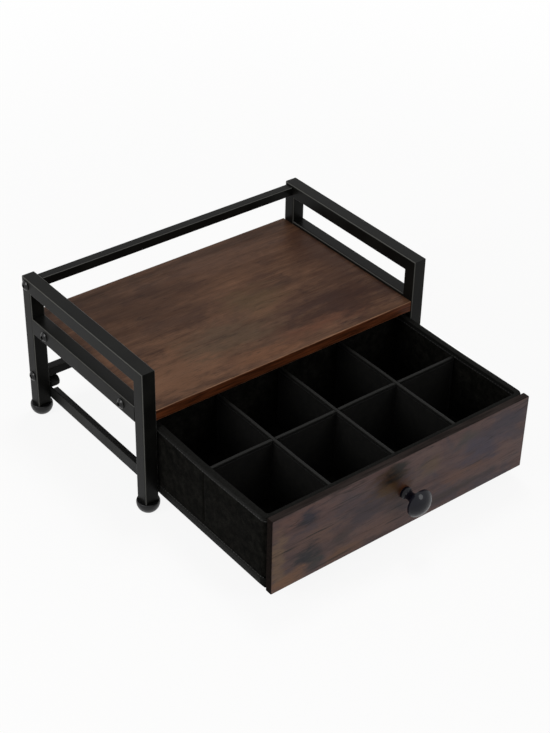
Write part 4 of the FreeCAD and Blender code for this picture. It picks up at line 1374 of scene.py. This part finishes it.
@dataclass
class DividerGrid:
    """The cloth-covered dividers, halved into each other, with bound top edges."""

    columns: int = 4
    edge_round: float = mm(0.9)
    sway: float = mm(0.5)
    back_sway_share: float = 0.6
    wander_share: float = 0.6
    wanders_along_per_metre: float = 25.0
    wanders_across_per_metre: float = 40.0
    wanders_up_per_metre: float = 12.0
    slot_width: float = mm(3.4)
    tape_depth: float = mm(4.0)
    tape_thickness: float = mm(0.2)
    tape_round_share: float = 0.6
    tape_gap: float = mm(0.3)
    cell: float = mm(5.0)
    cloth: SpunbondCloth = SpunbondCloth("black_divider_cloth", "#080807", 0.82, specular=0.1,
                                         light="#171614")
    tape: TwillTape = TwillTape("black_divider_tape", "#080807", 0.55, specular=0.11, light="#1a1a18")

    def build(self) -> None:
        """Builds every divider with its binding."""
        cloth = self.cloth.material()
        tape = self.tape.material()
        columns = [f"column_divider_{index}" for index in range(1, self.columns)]
        row_low, row_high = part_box("row_divider")
        row_y = (row_low.y + row_high.y) / 2
        column_places = [(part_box(name)[0].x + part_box(name)[1].x) / 2 for name in columns]
        halfway = (row_low.z + row_high.z) / 2
        self.build_divider("row_divider", Axis.X, column_places, (halfway, row_high.z), cloth, tape)
        for name in columns:
            self.build_divider(name, Axis.Y, [row_y], (row_low.z, halfway), cloth, tape)

    def build_divider(self, node: str, along: Axis, crossings: Sequence[float],
                      slot_span: tuple[float, float], cloth: bpy.types.Material,
                      tape: bpy.types.Material) -> None:
        """Builds one divider and the tape on its top edge.

        Args:
            node: The node that it stands for.
            along: The way that it runs.
            crossings: Where it is slotted.
            slot_span: Lowest and highest height of the slots.
            cloth: The cloth's material.
            tape: The tape's material.
        """
        low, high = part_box(node)
        mesh = self.slotted_board(low, high, along, crossings, slot_span)
        self.sway_along(mesh, along, crossings, low, high)
        add_piece(mesh, node + "_cloth", cloth, Body.DRAWER, [node])
        is_open_above = slot_span[1] > high.z - SAME_PLACE
        binding = self.bind(low, high, along, crossings if is_open_above else ())
        self.sway_along(binding, along, crossings, low, high)
        add_piece(binding, node + "_tape", tape, Body.DRAWER)

    def bind(self, low: Vector, high: Vector, along: Axis, breaks: Sequence[float]) -> bmesh.types.BMesh:
        """Folds tape over a divider's top edge, in strips where other dividers cross it from above.

        Args:
            low: Lowest corner of the divider's board.
            high: Highest corner of the board.
            along: The way that it runs.
            breaks: Where the tape leaves room for a slot.

        Returns:
            All the strips as one mesh.
        """
        way = along.index()
        thin = Vector((self.tape_thickness, self.tape_thickness, 0.0))
        thin[way] = 0.0
        gap = self.slot_width / 2 + self.tape_gap
        stops = [low[way]]
        for place in breaks:
            stops += [place - gap, place + gap]
        stops.append(high[way])
        binding = bmesh.new()
        for start, end in zip(stops[::2], stops[1::2]):
            strip_low = low - thin
            strip_high = high + thin
            strip_low[way] = start
            strip_high[way] = end
            strip_low.z = high.z - self.tape_depth
            strip_high.z = high.z + self.tape_thickness
            strip = slab(strip_low, strip_high)
            hollow_from_below(strip, strip_low.z, self.tape_thickness, self.tape_depth)
            round_level_edges(strip, strip_high.z, self.edge_round * self.tape_round_share, segments=3)
            cut_across(strip, along, spaced(start, end, self.cell))
            held = bpy.data.meshes.new("strip")
            strip.to_mesh(held)
            strip.free()
            binding.from_mesh(held)
            bpy.data.meshes.remove(held)
        return binding

    def slotted_board(self, low: Vector, high: Vector, along: Axis, crossings: Sequence[float],
                      slot_span: tuple[float, float]) -> bmesh.types.BMesh:
        """Cuts a divider's board from one sheet, slots included.

        Args:
            low: Lowest corner of the board.
            high: Highest corner of the board.
            along: The way that it runs.
            crossings: Where it is slotted.
            slot_span: Lowest and highest height of the slots.

        Returns:
            The board with a rounded top edge.
        """
        mesh = bmesh.new()
        size = high - low
        way = along.index()
        turn = Matrix.Rotation(math.pi / 2, 4, "X")
        if along is Axis.Y:
            turn = Matrix.Rotation(math.pi / 2, 4, "Z") @ turn
        place = (low + high) / 2
        place[1 - way] = low[1 - way]
        form = Matrix.Translation(place) @ turn @ Matrix.Diagonal((size[way], size.z, 1.0, 1.0))
        bmesh.ops.create_grid(mesh, x_segments=1, y_segments=1, size=0.5, matrix=form)
        half = self.slot_width / 2
        cut_across(mesh, along, [crossing + side * half for crossing in crossings for side in (-1, 1)])
        cut_across(mesh, Axis.Z, [height for height in slot_span
                                  if low.z + SAME_PLACE < height < high.z - SAME_PLACE])
        slots = [face for face in mesh.faces
                 if any(abs(face.calc_center_median()[way] - crossing) < half for crossing in crossings)
                 and slot_span[0] < face.calc_center_median().z < slot_span[1]]
        bmesh.ops.delete(mesh, geom=slots, context="FACES")
        thickness = Vector((0.0, 0.0, 0.0))
        thickness[1 - way] = size[1 - way]
        extrude_by(mesh, mesh.faces[:], thickness)
        bmesh.ops.recalc_face_normals(mesh, faces=mesh.faces[:])
        round_level_edges(mesh, high.z, self.edge_round, segments=3)
        cut_across(mesh, along, spaced(low[way], high[way], self.cell))
        cut_across(mesh, Axis.Z, spaced(low.z, high.z, self.cell))
        return mesh

    def sway_along(self, mesh: bmesh.types.BMesh, along: Axis, crossings: Sequence[float], low: Vector,
                   high: Vector) -> None:
        """Sways a divider a little between the places where it is held.

        Args:
            mesh: The divider or its tape.
            along: The way that it runs.
            crossings: Where the other dividers hold it.
            low: Lowest corner of the board.
            high: Highest corner of the board.
        """
        way = along.index()
        held = sorted([low[way], *crossings, high[way]])
        first = 1 if along is Axis.X else 0
        for vert in mesh.verts:
            reach = min(max(vert.co[way], low[way]), high[way])
            for index, (start, end) in enumerate(zip(held, held[1:]), first):
                if start <= reach <= end:
                    share = math.sin(math.pi * (reach - start) / (end - start))
                    side = 1.0 if index % 2 else -self.back_sway_share
                    height = smooth_step(low.z, high.z, vert.co.z)
                    wander = noise.noise(Vector((reach * self.wanders_along_per_metre,
                                                 low[1 - way] * self.wanders_across_per_metre,
                                                 vert.co.z * self.wanders_up_per_metre)))
                    lean = side * height + self.wander_share * wander
                    vert.co[1 - way] += self.sway * share * lean
                    break


# ---------------------------------------------------------------------------------------------
# Studio
# ---------------------------------------------------------------------------------------------

@dataclass
class Softbox:
    """One soft lamp that looks at the middle of the object."""

    name: str
    place: tuple[float, float, float]
    size: float
    power: float


@dataclass
class Studio:
    """The pale floor, the soft lamps, the white surroundings and the camera.

    The camera looks from its three angles, in degrees. Its distance and its aim are in widths of the
    stand, and its lens and its axis are in pixels of the image.
    """

    floor_colour: str = "#f4f3f1"
    floor_size: float = 12.0
    glow_share: float = 0.9
    near_floor: float = 0.35
    far_floor: float = 1.4
    surroundings: str = "#ffffff"
    surroundings_strength: float = 0.3
    lamps: tuple[Softbox, ...] = (
        Softbox("left_softbox", (-1.6, 0.1, 0.9), 0.8, 12.0),
        Softbox("front_softbox", (0.5, -1.7, 1.0), 0.9, 9.0),
        Softbox("top_softbox", (0.3, 0.3, 1.8), 0.5, 8.0),
    )
    look_at: tuple[float, float, float] = (0.0, 0.05, 0.07)
    azimuth: float = -38.404
    elevation: float = 35.156
    roll: float = 1.222
    frame_width: float = 0.345
    focal_pixels: float = 1604.63
    axis_pixel: tuple[float, float] = (270.02, 368.82)
    image_pixels: tuple[float, float] = (550.0, 733.0)
    sensor: float = 36.0
    stand_off: float = 4.2131
    aim: tuple[float, float] = (0.2896, -0.1722)

    def build(self) -> None:
        """Builds the floor, the lamps, the world and the camera."""
        self.build_floor()
        self.build_lamps()
        self.build_world()
        self.build_camera()

    def seen_directly(self, tree: bpy.types.NodeTree) -> bpy.types.NodeSocket:
        """Tells a surface that is looked at from one that only lights the object.

        Args:
            tree: The material's or world's node tree.

        Returns:
            1 where the camera, a gloss or a clear surface looks straight at the surface.
        """
        path = add_node(tree, "ShaderNodeLightPath").outputs
        glossy = add_node(tree, "ShaderNodeMath", {0: path["Is Camera Ray"], 1: path["Is Glossy Ray"]},
                          operation="MAXIMUM")
        return add_node(tree, "ShaderNodeMath", {0: glossy.outputs["Value"],
                                                 1: path["Is Transmission Ray"]},
                        operation="MAXIMUM").outputs["Value"]

    def build_floor(self) -> None:
        """Builds the floor: pale paper that stays near white and keeps a soft shadow."""
        mesh = bmesh.new()
        bmesh.ops.create_grid(mesh, x_segments=1, y_segments=1, size=self.floor_size / 2)
        data = bpy.data.meshes.new("studio_floor")
        mesh.to_mesh(data)
        mesh.free()
        paper = bpy.data.materials.new("studio_paper")
        paper.use_nodes = True
        tree = paper.node_tree
        tree.nodes.clear()
        matt = add_node(tree, "ShaderNodeBsdfDiffuse", {"Color": linear(self.floor_colour)})
        white = add_node(tree, "ShaderNodeEmission", {"Color": linear("#ffffff"), "Strength": 1.0})
        # far from the object no shadow falls, so the paper goes over into the white surroundings
        place = add_node(tree, "ShaderNodeTexCoord").outputs["Object"]
        away = add_node(tree, "ShaderNodeVectorMath", {0: place}, operation="LENGTH").outputs["Value"]
        glow = add_node(tree, "ShaderNodeMapRange", {"Value": away, "From Min": self.near_floor,
                                                     "From Max": self.far_floor, "To Min": self.glow_share,
                                                     "To Max": 1.0}, interpolation_type="SMOOTHSTEP")
        share = add_node(tree, "ShaderNodeMath", {0: self.seen_directly(tree), 1: glow.outputs["Result"]},
                         operation="MULTIPLY")
        mixed = add_node(tree, "ShaderNodeMixShader", {0: share.outputs["Value"], 1: matt.outputs["BSDF"],
                                                       2: white.outputs["Emission"]})
        add_node(tree, "ShaderNodeOutputMaterial", {"Surface": mixed.outputs["Shader"]})
        data.materials.append(paper)
        floor = bpy.data.objects.new("studio_floor", data)
        bpy.context.scene.collection.objects.link(floor)

    def build_lamps(self) -> None:
        """Builds the softboxes, each turned to the object."""
        for softbox in self.lamps:
            lamp = bpy.data.lights.new(softbox.name, "AREA")
            lamp.shape = "DISK"
            lamp.size = softbox.size
            lamp.energy = softbox.power
            stand = bpy.data.objects.new(softbox.name, lamp)
            stand.location = softbox.place
            way = Vector(self.look_at) - Vector(softbox.place)
            stand.rotation_euler = way.to_track_quat("-Z", "Y").to_euler()
            bpy.context.scene.collection.objects.link(stand)

    def build_world(self) -> None:
        """Builds surroundings that light softly and look white."""
        world = bpy.data.worlds.new("studio_world")
        world.use_nodes = True
        tree = world.node_tree
        tree.nodes.clear()
        soft = add_node(tree, "ShaderNodeBackground", {"Color": linear(self.surroundings),
                                                       "Strength": self.surroundings_strength})
        white = add_node(tree, "ShaderNodeBackground", {"Color": linear("#ffffff"), "Strength": 1.0})
        mixed = add_node(tree, "ShaderNodeMixShader", {0: self.seen_directly(tree),
                                                       1: soft.outputs["Background"],
                                                       2: white.outputs["Background"]})
        add_node(tree, "ShaderNodeOutputWorld", {"Surface": mixed.outputs["Shader"]})
        bpy.context.scene.world = world

    def build_camera(self) -> None:
        """Places the camera from its angles and its distance, measured in widths of the stand."""
        azimuth = math.radians(self.azimuth)
        elevation = math.radians(self.elevation)
        roll = math.radians(self.roll)
        back = Vector((math.sin(azimuth) * math.cos(elevation), -math.cos(azimuth) * math.cos(elevation),
                       math.sin(elevation)))
        level = Vector((math.cos(azimuth), math.sin(azimuth), 0.0))
        upright = back.cross(level)
        right = level * math.cos(roll) + upright * math.sin(roll)
        up = upright * math.cos(roll) - level * math.sin(roll)
        # the aim is counted from the stand's left front corner, at the height of the guard rails
        low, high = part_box("left_front_post")
        target = Vector((low.x + self.aim[0] * self.frame_width, low.y + self.aim[1] * self.frame_width,
                         high.z))
        lens = bpy.data.cameras.new("camera")
        lens.sensor_fit = "VERTICAL"
        lens.sensor_height = self.sensor
        lens.lens = self.focal_pixels * self.sensor / self.image_pixels[1]
        lens.shift_x = (self.image_pixels[0] / 2 - self.axis_pixel[0]) / self.image_pixels[1]
        lens.shift_y = (self.axis_pixel[1] - self.image_pixels[1] / 2) / self.image_pixels[1]
        camera = bpy.data.objects.new("camera", lens)
        turn = Matrix((right, up, back)).transposed().to_4x4()
        camera.matrix_world = Matrix.Translation(target + back * self.stand_off * self.frame_width) @ turn
        bpy.context.scene.collection.objects.link(camera)
        bpy.context.scene.camera = camera


def main() -> None:
    """Builds the studio and dresses the whole object."""
    logging.basicConfig(level=logging.INFO, format="%(message)s")
    bpy.context.scene.view_settings.view_transform = "Standard"
    Studio().build()
    Stand().build()
    Tabletop().build()
    DrawerFront().build()
    FabricBox().build()
    DividerGrid().build()


if __name__ == "__main__":
    main()
